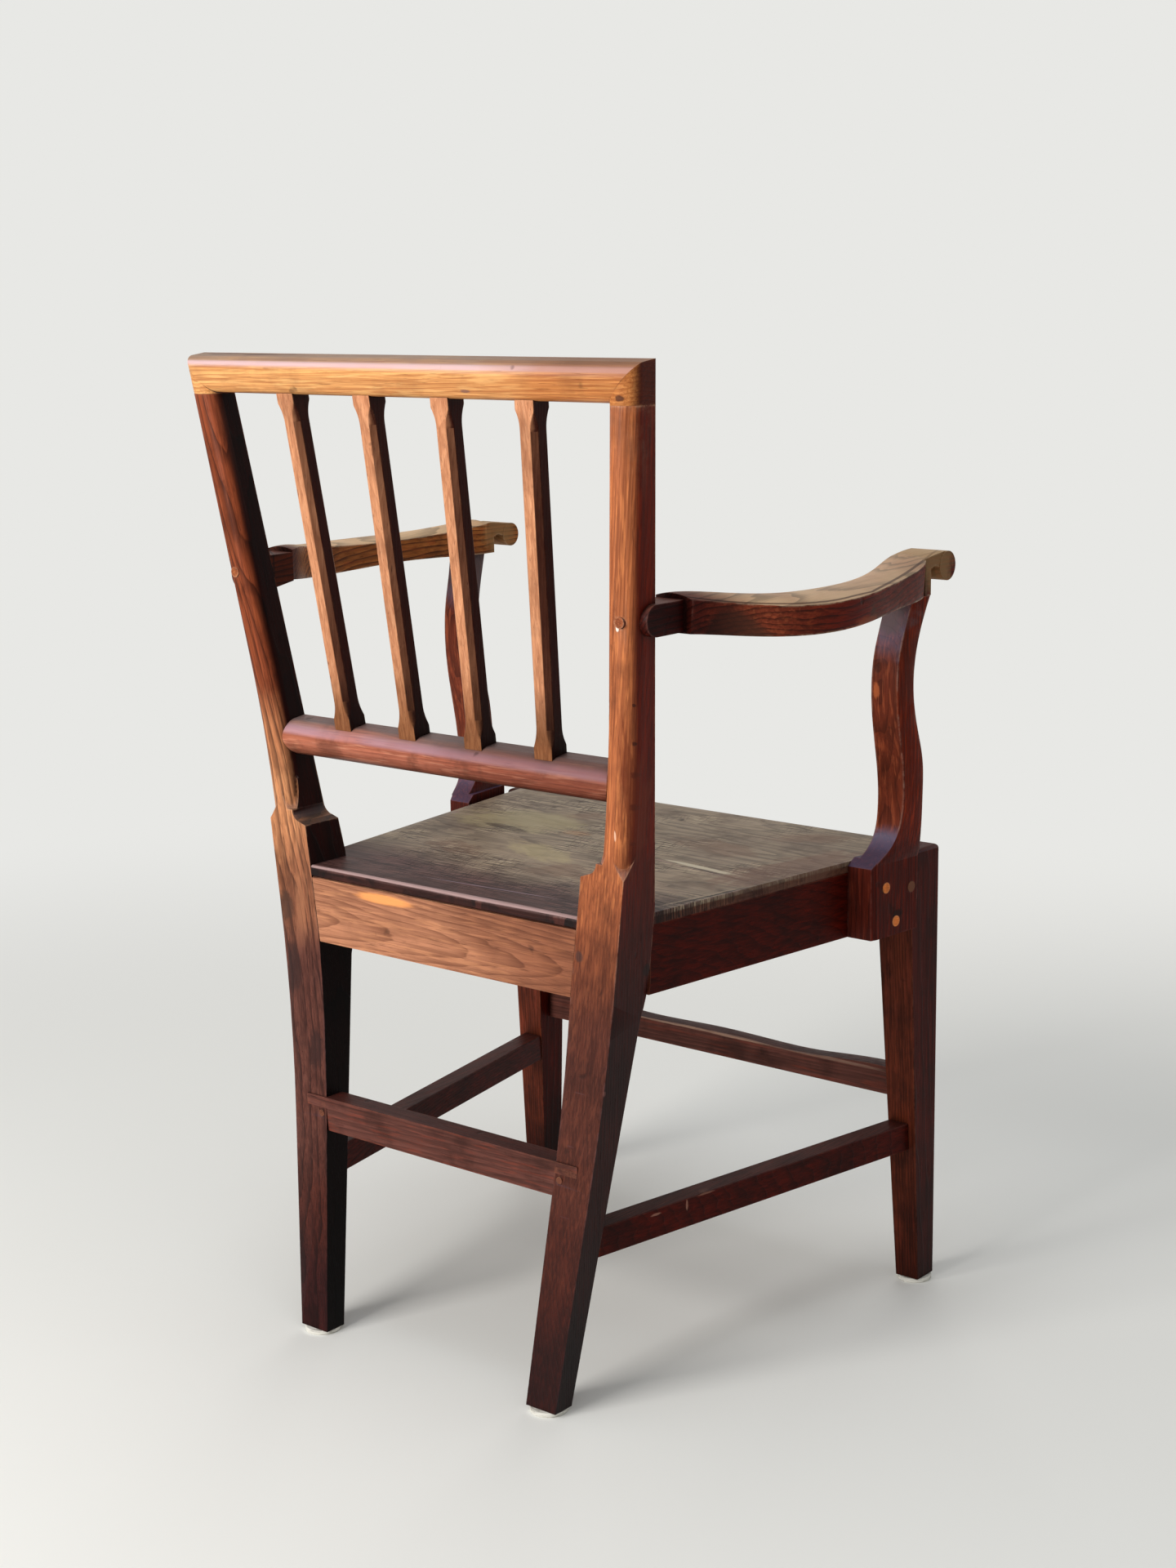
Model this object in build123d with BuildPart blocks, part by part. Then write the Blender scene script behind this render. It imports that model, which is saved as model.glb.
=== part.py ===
"""Open-back elbow chair: splayed rear posts, four-bar back, plank seat, outswept arms.

Millimetres, +Z up. The origin is on the floor under the middle of the chair. The sitter
faces -Y and the sitter's left hand is at +X. Pieces that come in pairs are made at +X and
mirrored, and every rail is scribed to the blanks that it meets.
"""
from build123d import *
import os
from math import atan, cos, degrees, radians, sin, tan

os.makedirs("parts", exist_ok=True)

# ------------------------------------------------------------------ driving dimensions
pad_height = 4.0            # glide pad under each foot
seat_top = 435.0
seat_board = 10.0           # thickness of the two seat boards
seat_rail_depth = 60.0      # height of the four seat rails
rail_stock = 22.0           # thickness of rails in the seat frame
chair_front = -230.0        # front faces of the front legs
seat_front = -221.0         # front edge of the boards
edge_wear = (24.0, 7.0)     # reach and drop of the boards' worn front and left edges
seat_rounding = 3.5         # along the rear edge of the seat
seam_chamfer = 1.2          # on both sides of the seam between the back rail and the board

# rear posts: one straight splay in front view, kinked at the seat in side view
foot_outer, foot_inner = 153.8, 120.9     # half widths at the foot
splay = 0.1124                            # outward lean of the outer face per mm of height
post_width_seat = 46.0                    # across the block at the seat rails
post_width_top = 28.6                     # across the rounded upper part, at the crest
post_width_low = 30.0                     # the same just above the seat block
foot_back, foot_depth = 228.0, 22.0       # back face of the foot, and its depth
knee_height = 200.0                       # the back of the leg is straight up to here
knee_back = 204.0
seat_back, seat_block_depth = 192.0, 46.0 # back face and depth at the seat
leg_set_back = 4.0                        # the leg is this much less deep under the block
kink = 20.0                               # the front face bends this far above and below
shoulder_height = 471.0                   # top of the square block
tongue_length = 40.0                      # run-out of the square corners above the block
back_rake = 0.128                         # backward lean of the front plane of the back
bend_length = 148.5                       # rise in which the posts' backs bend into their lean
crest_joint = 858.0                       # level where the posts end under the crest
post_depth_top = 30.0                     # depth of the posts at the crest
post_rounding = 14.2                      # radius at the back of the posts

# crest rail and lower back rail share one D-shaped section
d_flat = 15.8                             # straight part of the section, from the front plane
d_height = 32.3                           # height of the crest and of the lower rail
crest_stub = 3.0                          # the crest reaches this far down over each post
lower_rail_top = 567.0

# four back bars, given by the distance of their centre lines from the middle
bar_top_x = (44.3, 135.8)
bar_bottom_x = (38.3, 116.2)
bar_stock = 19.6                          # the bars are square
bar_set_back = 2.6                        # their front faces lie behind the front plane
bar_overrun = 8.0                         # their centre lines run on into the rails
bar_chamfer = 4.8
chamfer_stop = 17.0                       # length of the curved run-out of the chamfers

# front legs: outer and front faces upright, inner and rear faces tapering
leg_outer = 247.0
leg_width, leg_depth = 37.0, 46.0
leg_foot_width, leg_foot_depth = 24.6, 27.0
leg_top = 430.5
leg_rounding = 4.0                        # round the top of each front leg

# stretchers
stretcher_stock = 21.0
front_stretcher_stock = 18.0
back_stretcher_bottom, back_stretcher_height = 189.7, 31.3
side_stretcher_bottom, side_stretcher_height = 136.5, 26.5
front_stretcher_bottom, front_stretcher_height = 181.5, 27.5
stretcher_wear = 5.0                      # hollow worn into the front stretcher by feet

# arms: the two were shaped by eye, so some of their sizes differ
neck_inner, neck_outer = -21.7, 7.3       # faces of the neck, from the outer face of the post
neck_height = 26.0
nose_length, nose_round = 20.0, 12.0      # the neck's lap on the post, and its rounded end
arm_height = 688.0                        # middle of the neck where it meets the right post
arm_lift = {"left": 7.8, "right": 0.0}    # the left arm is set higher
arm_tilt = {"left": 0.023, "right": 0.0}  # and rises more per mm towards the back
arm_trim = {"left": 2.5, "right": 0.0}    # its pad is thinner by this
neck_drop = {"left": 6.5, "right": 0.0}   # and its neck deepens by this to the post
knuckle_radius = {"left": 11.6, "right": 13.2}
knuckle_rise = {"left": 5.0, "right": 9.0}
knuckle_y = -188.0
knuckle_width = 38.5
arm_over_leg = 11.25                      # middle of the arm at its support, outside the legs
cove_radius = 7.0                         # hollow between the knuckle and the support

# arm supports
support_foot_rear, support_foot = -103.0, 65.0   # rear face and depth of the foot
support_proud = 15.4                      # its outer face stands out from the front legs
support_turn_share = 0.75                 # it turns in towards the back less than the rail does

# joinery
clearance = 0.2                           # around tenons and pegs
end_gap = 1.0                             # left at the bottom of each mortise
tenon = 8.0                               # thickness of the tenons
rail_tenon = (20.0, 40.0)                 # reach and height of the seat rails' tenons
side_tenon_reach = 15.0
back_stretcher_tenon = (22.0, 20.0)       # reach and height
side_stretcher_tenon = 18.0               # height
front_stretcher_tenon_size = (14.0, 14.0)
lower_rail_tenon_reach = 16.0
post_tenon_radius, post_tenon_length = 6.5, 18.0
support_dowel_radius, support_dowel_length = 5.5, 24.0
peg_radius, peg_length = 5.0, 42.0        # pegs through the feet of the supports
stretcher_peg_radius = 3.2
screw_radius, screw_head_radius, screw_length = 2.6, 4.4, 40.0
plug_radius = 4.7
proud = 0.4                               # pegs and plugs stand out by this
pad_diameter = 33.0
pad_chamfer = 0.8


# line of the joint between the two seat boards, from left to right
seat_joint = ((leg_outer, -58.0), (151.0, -48.0), (60.0, -38.0), (-79.0, -12.0), (-121.0, 0.0),
              (-187.0, 5.0), (-leg_outer, 15.0))

# ------------------------------------------------------------------ lines of the chair
seat_underside = seat_top - seat_board
rail_bottom = seat_underside - seat_rail_depth
rake = atan(back_rake)
bend_height = seat_underside + 15.0       # the back rakes from just above the seat
front_of_block = seat_back - seat_block_depth
post_shoulder_inner = foot_outer + splay * (shoulder_height - pad_height) - post_width_seat + 1.0
neck_level = shoulder_height + 13.0       # the block has drawn in to the rounded part here
hands = ("left", "right")
support_outer = leg_outer + support_proud
arm_middle_front = leg_outer + arm_over_leg
knuckle_inner = arm_middle_front - knuckle_width / 2


def outer_x(z):
    """Half width over the outer faces of the posts at a height."""
    return foot_outer + splay * (z - pad_height)


def inner_x(z):
    """Half width between the inner faces of the legs and of the seat blocks."""
    rail_inner = outer_x(rail_bottom) - post_width_seat
    if z <= rail_bottom:
        return foot_inner + (rail_inner - foot_inner) * (z - pad_height) / (rail_bottom - pad_height)
    share = (z - rail_bottom) / (shoulder_height - rail_bottom)
    return rail_inner + (post_shoulder_inner - rail_inner) * share


def upper_width(z):
    """Width of the rounded part of a post."""
    share = (z - shoulder_height) / (crest_joint - shoulder_height)
    return post_width_low + (post_width_top - post_width_low) * share


def back_plane_y(z):
    """Front plane of the raked back."""
    return front_of_block + back_rake * (z - bend_height)


def leg_front_y(z):
    """Front face of a rear post below the seat."""
    foot_front = foot_back - foot_depth
    top_front = front_of_block + leg_set_back
    return foot_front + (top_front - foot_front) * (z - pad_height) / (rail_bottom - pad_height)


back_top_y = back_plane_y(crest_joint) + post_depth_top
upright_height = crest_joint - shoulder_height
# The back face is upright at the block and bends by one arc into a straight lean, which is found
# by repetition so that the arc runs smoothly into the straight and that meets the crest.
back_face_rake = back_rake
for _ in range(20):
    bend_offset = bend_length * tan(atan(back_face_rake) / 2)
    back_face_rake = (back_top_y - seat_back - bend_offset) / (upright_height - bend_length)
bend_radius = bend_length / sin(atan(back_face_rake))


def upper_back_y(z):
    """Back of the rounded part of a post."""
    rise = z - shoulder_height
    if rise < bend_length:
        return seat_back + bend_radius - (bend_radius ** 2 - rise ** 2) ** 0.5
    return back_top_y - back_face_rake * (crest_joint - z)


def side_line_x(y):
    """Outer faces of the side seat rails: flush with the posts and with the front legs."""
    rear_x, rear_y = outer_x(seat_underside) - 4.0, front_of_block
    front_x = leg_outer - 1.0
    return rear_x + (front_x - rear_x) * (rear_y - y) / (rear_y - chair_front)


side_slope = (side_line_x(chair_front) - side_line_x(front_of_block)) / (front_of_block - chair_front)
support_turn = support_turn_share * side_slope


def stretcher_line_x(y):
    """Outer faces of the side stretchers."""
    middle = side_stretcher_bottom + side_stretcher_height / 2
    rear_x, rear_y = outer_x(middle) - 0.5, leg_front_y(middle)
    front_x = leg_outer - 1.0
    return rear_x + (front_x - rear_x) * (rear_y - y) / (rear_y - chair_front)


def export(builder, name, flip=False):
    """Label a finished piece and write it out, mirrored to -X if asked."""
    piece = mirror(builder.part, about=Plane.YZ, mode=Mode.PRIVATE) if flip else builder.part
    piece.label = name
    export_step(piece, f"parts/{name}.step")


def export_pair(builder, name):
    """Write the piece at +X as the left one, and its mirror image as the right one."""
    export(builder, f"{name}_left")
    export(builder, f"{name}_right", flip=True)


def tenon_box(x, y, z, length, width, height, grow=0.0):
    """A tenon by its centre and size; grow makes the mortise that receives it."""
    with BuildPart() as block:
        with Locations((x, y, z)):
            Box(length + 2 * grow, width + 2 * grow, height + 2 * grow)
    return block.part


# ------------------------------------------------------------------ blanks
# Blanks are the pieces before their mortises are cut. What meets them is scribed to them.
def make_rounded_upright():
    """Upper length of a post: square at the front and fully rounded at the back."""
    low, bend_end = shoulder_height, shoulder_height + bend_length
    with BuildPart() as upright:
        with BuildSketch(Plane.YZ):
            with BuildLine():
                TangentArc((upper_back_y(low), low), (upper_back_y(bend_end), bend_end), tangent=(0, 1))
                Polyline((upper_back_y(bend_end), bend_end), (back_top_y, crest_joint),
                         (back_plane_y(crest_joint), crest_joint), (back_plane_y(low), low),
                         (upper_back_y(low), low))
            make_face()
        extrude(amount=outer_x(crest_joint))
        with BuildSketch(Plane.XZ):
            with BuildLine():
                Polyline((outer_x(low), low), (outer_x(crest_joint), crest_joint),
                         (outer_x(crest_joint) - post_width_top, crest_joint),
                         (outer_x(low) - upper_width(low), low), close=True)
            make_face()
        extrude(amount=2 * foot_back, both=True, mode=Mode.INTERSECT)
        backs = [face for face in upright.faces() if face.normal_at().Y > 0.9]
        arrises = [edge for face in backs for edge in face.edges() if abs(edge.tangent_at(0.5).Z) > 0.9]
        fillet(arrises, post_rounding)
    return upright.part


def make_tongues():
    """Square length above the block whose back corners run out as lamb's tongues."""
    low, high = shoulder_height, shoulder_height + tongue_length
    with BuildPart() as run:
        for z in (low, high):
            width = upper_width(z)
            with BuildSketch(Plane.XY.offset(z)):
                with Locations((outer_x(z), upper_back_y(low))):
                    Rectangle(width, post_rounding, align=(Align.MAX, Align.MAX))
        loft()
        for turn, corner_x in ((1, outer_x(low)), (-1, outer_x(low) - upper_width(low))):
            blade = Plane(origin=(corner_x, upper_back_y(low), low), x_dir=(0, 0, 1), z_dir=(1, -turn, 0))
            reach = post_rounding / 2 ** 0.5 + 1.0
            with BuildSketch(blade):
                with BuildLine():
                    TangentArc((tongue_length, reach), (2.0, 0), tangent=(-1, 0.0))
                    Polyline((2.0, 0), (2.0, -10.0), (tongue_length, -10.0), (tongue_length, reach))
                make_face()
            extrude(amount=post_width_seat, both=True, mode=Mode.SUBTRACT)
    return run.part


def post_side_profile():
    """Outline of a post in side view, from the foot to the top of its square block."""
    with BuildSketch() as profile:
        with BuildLine():
            foot_front = (foot_back - foot_depth, pad_height)
            knee_slope = (foot_back - knee_back) / (knee_height - pad_height)
            straight_from = knee_height + (knee_back - seat_back) / tan(atan(knee_slope) / 2)
            Polyline(foot_front, (foot_back, pad_height), (knee_back, knee_height))
            TangentArc((seat_back, straight_from), (knee_back, knee_height), tangent=(0, -1))
            Polyline((seat_back, straight_from), (seat_back, neck_level),
                     (back_plane_y(neck_level), neck_level), (front_of_block, bend_height),
                     (front_of_block, rail_bottom + kink))
            TangentArc((front_of_block, rail_bottom + kink),
                       (leg_front_y(rail_bottom - kink), rail_bottom - kink), tangent=(0, -1))
            Line((leg_front_y(rail_bottom - kink), rail_bottom - kink), foot_front)
        make_face()
    return profile.sketch


def make_post_blank():
    """Left rear post, without its joints."""
    with BuildPart() as blank:
        with BuildSketch(Plane.YZ):
            add(post_side_profile())
        extrude(amount=outer_x(crest_joint))
        with BuildSketch(Plane.XZ):
            with BuildLine():
                step = inner_x(shoulder_height)
                neck = outer_x(neck_level) - upper_width(shoulder_height)
                Polyline((neck + 6.0, neck_level), (outer_x(shoulder_height), shoulder_height),
                         (foot_outer, pad_height), (foot_inner, pad_height),
                         (inner_x(rail_bottom), rail_bottom), (step, shoulder_height),
                         (step + 7.0, shoulder_height + 2.5))
                RadiusArc((neck, neck_level), (step + 7.0, shoulder_height + 2.5), 11.0)
                Line((neck, neck_level), (neck + 6.0, neck_level))
            make_face()
        extrude(amount=2 * foot_back, both=True, mode=Mode.INTERSECT)
        add(make_rounded_upright())
        add(make_tongues())
    return blank.part


def make_front_leg_blank():
    """Left front leg, without its joints."""
    with BuildPart() as blank:
        with BuildSketch(Plane.XY.offset(pad_height)):
            with Locations((leg_outer, chair_front)):
                Rectangle(leg_foot_width, leg_foot_depth, align=(Align.MAX, Align.MIN))
        with BuildSketch(Plane.XY.offset(rail_bottom)):
            with Locations((leg_outer, chair_front)):
                Rectangle(leg_width, leg_depth, align=(Align.MAX, Align.MIN))
        loft()
        extrude(blank.faces().sort_by(Axis.Z)[-1], amount=leg_top - rail_bottom)
        fillet(blank.faces().sort_by(Axis.Z)[-1].edges(), leg_rounding)
    return blank.part


def make_post_slab():
    """The posts' side view across the whole chair: the side pieces butt against its front."""
    with BuildPart() as slab:
        with BuildSketch(Plane.YZ):
            add(post_side_profile())
        extrude(amount=leg_outer)
    return slab.part


post_blank = make_post_blank()
post_slab = make_post_slab()
leg_blank = make_front_leg_blank()
post_blanks = [post_blank, mirror(post_blank, about=Plane.YZ)]
leg_blanks = [leg_blank, mirror(leg_blank, about=Plane.YZ)]


def d_section_plane(z):
    """Cross-section plane of a rail of the back: X runs backwards, Y runs up the rake."""
    return Plane(origin=(0, back_plane_y(z), z), x_dir=(0, cos(rake), -sin(rake)), z_dir=(1, 0, 0))


def d_profile(low, height):
    """D-shaped section: flat at the front, an arc at the back."""
    with BuildSketch() as profile:
        with BuildLine():
            Polyline((d_flat, low), (0, low), (0, low + height), (d_flat, low + height))
            ThreePointArc((d_flat, low + height), (post_depth_top, low + height / 2), (d_flat, low))
        make_face()
    return profile.sketch


def make_lower_rail_blank():
    """Lower back rail as one long D-shaped bar."""
    with BuildPart() as blank:
        with BuildSketch(d_section_plane(lower_rail_top)):
            add(d_profile(-d_height, d_height))
        extrude(amount=outer_x(lower_rail_top) - upper_width(lower_rail_top) / 2, both=True)
    return blank.part


def make_crest_blank():
    """Crest rail with its two mitred corners, without its mortises."""
    top = crest_joint + (crest_stub + d_height) * cos(rake)
    outer_top = Vector(outer_x(top), back_plane_y(top), top)
    low = crest_joint + crest_stub * cos(rake)
    inner_low = Vector(outer_x(low) - post_width_top, back_plane_y(low), low)
    depth = Vector(0, cos(rake), -sin(rake))
    mitre = Plane(origin=inner_low, x_dir=depth, z_dir=depth.cross(outer_top - inner_low))
    lean = Vector(splay, back_rake, 1.0)
    with BuildPart() as stub:
        with BuildSketch(Plane.XY.offset(crest_joint)):
            outer, front = outer_x(crest_joint), back_plane_y(crest_joint)
            with BuildLine():
                shoulder = front + post_depth_top - post_rounding
                Polyline((outer - post_width_top, shoulder), (outer - post_width_top, front),
                         (outer, front), (outer, shoulder))
                ThreePointArc((outer, shoulder), (outer - post_width_top / 2, front + post_depth_top),
                              (outer - post_width_top, shoulder))
            make_face()
        extrude(amount=(crest_stub + d_height + 12.0) * lean.length, dir=lean.normalized())
        split(bisect_by=mitre, keep=Keep.BOTH)
    inner_side = stub.solids().sort_by(Axis.Z)[0]
    with BuildPart() as blank:
        with BuildSketch(d_section_plane(crest_joint)):
            add(d_profile(crest_stub, d_height))
        extrude(amount=outer_top.X + 20.0)
        split(bisect_by=mitre, keep=Keep.BOTH)
    bar = blank.solids().sort_by(Axis.X)[0]
    with BuildPart() as crest:
        add([bar, inner_side])
        mirror(about=Plane.YZ)
    return crest.part


lower_rail_blank = make_lower_rail_blank()
crest_blank = make_crest_blank()


# ------------------------------------------------------------------ arms
pad_rear = front_of_block + 3.0           # shoulder where the pad begins, behind the neck
pad_front = -152.0                        # the pad ends here and the knuckle's stem begins
stem_top = 18.2                           # top of that stem over arm_height
pad_under = -14.5                         # underside at both ends of the pad
crown = 3.4                               # rise of the rounded top between its two edges
# Stations of the pad from the shoulder to the support: distance along, inner and outer edge
# from the straight line between neck and support, then inner top edge, outer top edge and
# underside from arm_height.
pad_stations = (
    (pad_rear, -14.5, 22.5, 15.0, 13.0, pad_under),
    (112.0, 4.2, 50.2, 14.5, 8.0, -18.0),
    (72.0, 18.1, 72.6, 10.2, 4.8, -20.0),
    (20.0, 20.1, 77.6, 7.5, 5.3, -19.0),
    (-40.0, 14.7, 62.7, 7.3, 7.6, -16.5),
    (-100.0, 0.3, 42.3, 11.0, 10.8, -15.5),
    (pad_front, -18.75, 18.75, 18.0, 17.5, pad_under),
)


def arm_line_x(y):
    """Straight line between the middles of an arm's neck and of its support."""
    neck_middle = outer_x(arm_height) + (neck_inner + neck_outer) / 2
    return neck_middle + (arm_middle_front - neck_middle) * (pad_rear - y) / (pad_rear - pad_front)


def arm_level(side, y, z=0.0):
    """Height over the floor of a level of an arm, at a distance along it."""
    return arm_height + z + arm_lift[side] + arm_tilt[side] * y


def pad_section(side, y, inner, outer, top_in, top_out, under):
    """Cross-section of an arm's pad: flat below, crowned above."""
    line = arm_line_x(y)
    low = arm_level(side, y, under + arm_trim[side])
    low_inner, low_outer = (line + inner, low), (line + outer - 2.0, low)
    high_outer = (line + outer, arm_level(side, y, top_out))
    high_inner = (line + inner, arm_level(side, y, top_in))
    middle = (line + (inner + outer) / 2, arm_level(side, y, (top_in + top_out) / 2 + crown))
    with BuildSketch(Plane.XZ.offset(-y)) as section:
        with BuildLine():
            Polyline(high_inner, low_inner, low_outer, high_outer)
            ThreePointArc(high_outer, middle, high_inner)
        make_face()
    return section.sketch


def stem_profile(side):
    """Side view of the stem that runs from the pad to the knuckle, hollowed by a cove."""
    radius = knuckle_radius[side]
    knuckle_z = arm_level(side, knuckle_y, knuckle_rise[side])
    low = arm_level(side, pad_front, pad_under + arm_trim[side])
    high = arm_level(side, pad_front, stem_top)
    rear = pad_front + 0.5
    with BuildSketch() as profile:
        with BuildLine():
            Polyline((knuckle_y, knuckle_z + radius), (knuckle_y, low), (rear, low), (rear, high))
            Spline((rear, high), (knuckle_y, knuckle_z + radius), tangents=((-1.0, 0.16), (-1.0, 0.0)))
        make_face()
        with Locations((knuckle_y + radius + cove_radius, knuckle_z - 5.0)):
            Circle(cove_radius, mode=Mode.SUBTRACT)
            Rectangle(2 * cove_radius, neck_height, align=(Align.CENTER, Align.MAX), mode=Mode.SUBTRACT)
        with Locations((knuckle_y, knuckle_z)):
            Rectangle(radius + 2 * cove_radius, neck_height, align=(Align.MIN, Align.MAX),
                      mode=Mode.SUBTRACT)
    return profile.sketch


def make_arm_blank(side):
    """An arm at +X: neck, bowed pad and rolled knuckle."""
    nose_end = back_plane_y(arm_height) + nose_length
    with BuildPart() as blank:
        for station in pad_stations:
            add(pad_section(side, *station))
        loft()
        with BuildSketch(Plane.YZ.offset(knuckle_inner + 0.5)):
            add(stem_profile(side))
        extrude(amount=knuckle_width - 1.0)
        with BuildSketch(Plane.YZ.offset(knuckle_inner)):
            with Locations((knuckle_y, arm_level(side, knuckle_y, knuckle_rise[side]))):
                Circle(knuckle_radius[side])
        extrude(amount=knuckle_width)
        # the neck: a square block lapped round the front outer corner of the post
        with BuildSketch(Plane.YZ.offset(outer_x(arm_height) + neck_inner)):
            with BuildLine():
                shoulder, round_from = pad_rear - 0.5, nose_end - nose_round
                low = arm_level(side, pad_rear, -neck_height / 2)
                high = arm_level(side, pad_rear, neck_height / 2)
                low_nose = low - neck_drop[side]
                Polyline((round_from, low_nose), (shoulder, low), (shoulder, high), (round_from, high))
                ThreePointArc((round_from, high), (nose_end, (low_nose + high) / 2),
                              (round_from, low_nose))
            make_face()
        extrude(amount=neck_outer - neck_inner)
        add(post_blank, mode=Mode.SUBTRACT)
    return blank.part


# ------------------------------------------------------------------ where the joints lie
# Tenons as (centre, size); every mortise is the same box grown by the clearance.
back_rail_y = seat_back - rail_stock / 2
front_rail_y = seat_front - 1.0 + rail_stock / 2
front_rail_inner = leg_outer - leg_width
rail_mid = (rail_bottom + seat_underside) / 2
back_stretcher_mid = back_stretcher_bottom + back_stretcher_height / 2
back_stretcher_y = (leg_front_y(back_stretcher_mid) + stretcher_stock / 2) + 7.0
front_stretcher_mid = front_stretcher_bottom + front_stretcher_height / 2
front_stretcher_y = chair_front + 3.0 + front_stretcher_stock / 2
side_mid = side_stretcher_bottom + side_stretcher_height / 2


def leg_share(z):
    """How far a level is up the taper of the front legs."""
    return min(1.0, (z - pad_height) / (rail_bottom - pad_height))


def leg_inner_x(z):
    return leg_outer - leg_foot_width - (leg_width - leg_foot_width) * leg_share(z)


def leg_rear_y(z):
    return chair_front + leg_foot_depth + (leg_depth - leg_foot_depth) * leg_share(z)


def side_angle(line):
    """Turn of a side rail in plan, in degrees, for a line of its outer face."""
    return degrees(atan((line(chair_front) - line(seat_back)) / (seat_back - chair_front)))


def side_bar(line, low, height, stock):
    """Rail or stretcher along one side of the chair, over-long at both ends."""
    with BuildPart() as bar:
        with BuildSketch(Plane.XY.offset(low)):
            with BuildLine():
                inset = stock / cos(radians(side_angle(line)))
                rear, front = seat_back - 4.0, chair_front + 4.0
                Polyline((line(rear), rear), (line(front), front), (line(front) - inset, front),
                         (line(rear) - inset, rear), close=True)
            make_face()
        extrude(amount=height)
    return bar.part


def side_tenons(line, stock, z, height, grow=0.0):
    """Front and rear tenon of a side rail or stretcher, in line with it."""
    turn = side_angle(line)
    reach = side_tenon_reach + grow * end_gap / clearance
    boxes = []
    for y in (leg_rear_y(z), leg_front_y(z) if z < rail_bottom else front_of_block):
        with BuildPart() as block:
            with Locations(Location((line(y) - stock / 2 / cos(radians(turn)), y, z), (0, 0, turn))):
                Box(tenon + 2 * grow, 2 * reach, height + 2 * grow)
        boxes.append(block.part)
    return boxes


def cross_tenon(x_shoulder, y, z, length, thickness, height, grow=0.0):
    """Tenon of a rail that runs across the chair, entering the piece at +X."""
    reach = length + grow * end_gap / clearance
    return tenon_box(x_shoulder, y, z, 2 * reach, thickness, height, grow)


def bar_axis(place):
    """Foot and head of a back bar, on the middle of its section."""
    low, high = lower_rail_top - bar_overrun, crest_joint + bar_overrun
    middle = bar_set_back + bar_stock / 2
    foot = Vector(bar_bottom_x[place], back_plane_y(low) + middle, low)
    head = Vector(bar_top_x[place], back_plane_y(high) + middle, high)
    return foot, head


def bar_plane(place):
    """Plane across a back bar at its foot, with Z up the bar."""
    foot, head = bar_axis(place)
    return Plane(origin=foot, x_dir=(1, 0, 0), z_dir=head - foot)


def bar_tenons(place, grow=0.0):
    """Stub tenons at both ends of a back bar."""
    foot, head = bar_axis(place)
    with BuildPart(bar_plane(place)) as both:
        length = (head - foot).length + 2 * grow * end_gap / clearance + 6.0
        with Locations((0, -3.0, (head - foot).length / 2)):
            Box(bar_stock - 6.0 + 2 * grow, tenon + 2 * grow, length)
    return both.part


def post_top_tenon(grow=0.0):
    """Round tenon on top of a post, inside the corner of the crest rail."""
    middle = outer_x(crest_joint) - post_width_top / 2
    reach = post_tenon_length + grow * end_gap / clearance
    with BuildPart() as pin:
        with Locations((middle + 1.0, back_plane_y(crest_joint) + post_depth_top / 2 + 1.0, crest_joint)):
            Cylinder(post_tenon_radius + grow, reach, align=(Align.CENTER, Align.CENTER, Align.MIN))
    return pin.part


def lower_rail_tenon(grow=0.0):
    """Left tenon of the lower back rail."""
    z = lower_rail_top - d_height / 2
    return cross_tenon(inner_upper_x(z), back_plane_y(z) + 12.0, z, lower_rail_tenon_reach, tenon,
                       d_height - 12.0, grow)


def back_rail_tenon(grow=0.0):
    """Left tenon of the back seat rail."""
    reach, height = rail_tenon
    return cross_tenon(inner_x(rail_mid), back_rail_y, rail_mid, reach, tenon, height, grow)


def front_rail_tenon(grow=0.0):
    """Left tenon of the front seat rail."""
    reach, height = rail_tenon
    return cross_tenon(front_rail_inner, front_rail_y, rail_mid, reach, tenon, height, grow)


def side_rail_tenons(grow=0.0):
    """Front and rear tenon of the left side rail."""
    return side_tenons(side_line_x, rail_stock, rail_mid, rail_tenon[1], grow)


def side_stretcher_tenons(grow=0.0):
    """Front and rear tenon of the left side stretcher."""
    return side_tenons(stretcher_line_x, stretcher_stock, side_mid, side_stretcher_tenon, grow)


def rear_stretcher_tenon(grow=0.0):
    """Left tenon of the back stretcher."""
    reach, height = back_stretcher_tenon
    return cross_tenon(inner_x(back_stretcher_mid), back_stretcher_y, back_stretcher_mid, reach,
                       tenon, height, grow)


def front_stretcher_tenon(grow=0.0):
    """Left tenon of the front stretcher."""
    reach, height = front_stretcher_tenon_size
    z = front_stretcher_mid - stretcher_wear / 2
    return cross_tenon(leg_inner_x(z), front_stretcher_y, z, reach, tenon, height, grow)


def both_sides(shape):
    """A joint's shape at +X together with its mirror image."""
    return [shape, mirror(shape, about=Plane.YZ, mode=Mode.PRIVATE)]


def inner_upper_x(z):
    """Half width between the rounded parts of the posts."""
    return outer_x(z) - upper_width(z)


def support_dowel(side, grow=0.0):
    """Dowel turned on top of an arm support, inside the arm."""
    with BuildPart() as pin:
        with Locations((support_outer + 1.0, pad_front + 4.5, arm_level(side, pad_front, -20.0))):
            Cylinder(support_dowel_radius + grow, support_dowel_length + grow * end_gap / clearance,
                     align=(Align.CENTER, Align.CENTER, Align.MIN))
    return pin.part


def screw_axis(side):
    """Plane on a post's front face, at the screw that holds the arm, with Z pointing back."""
    z = arm_level(side, back_plane_y(arm_height))
    x = outer_x(arm_height) - upper_width(arm_height) / 2 + 3.0
    return Plane(origin=(x, back_plane_y(z), z), x_dir=(1, 0, 0), z_dir=(0, 1, 0))


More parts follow.
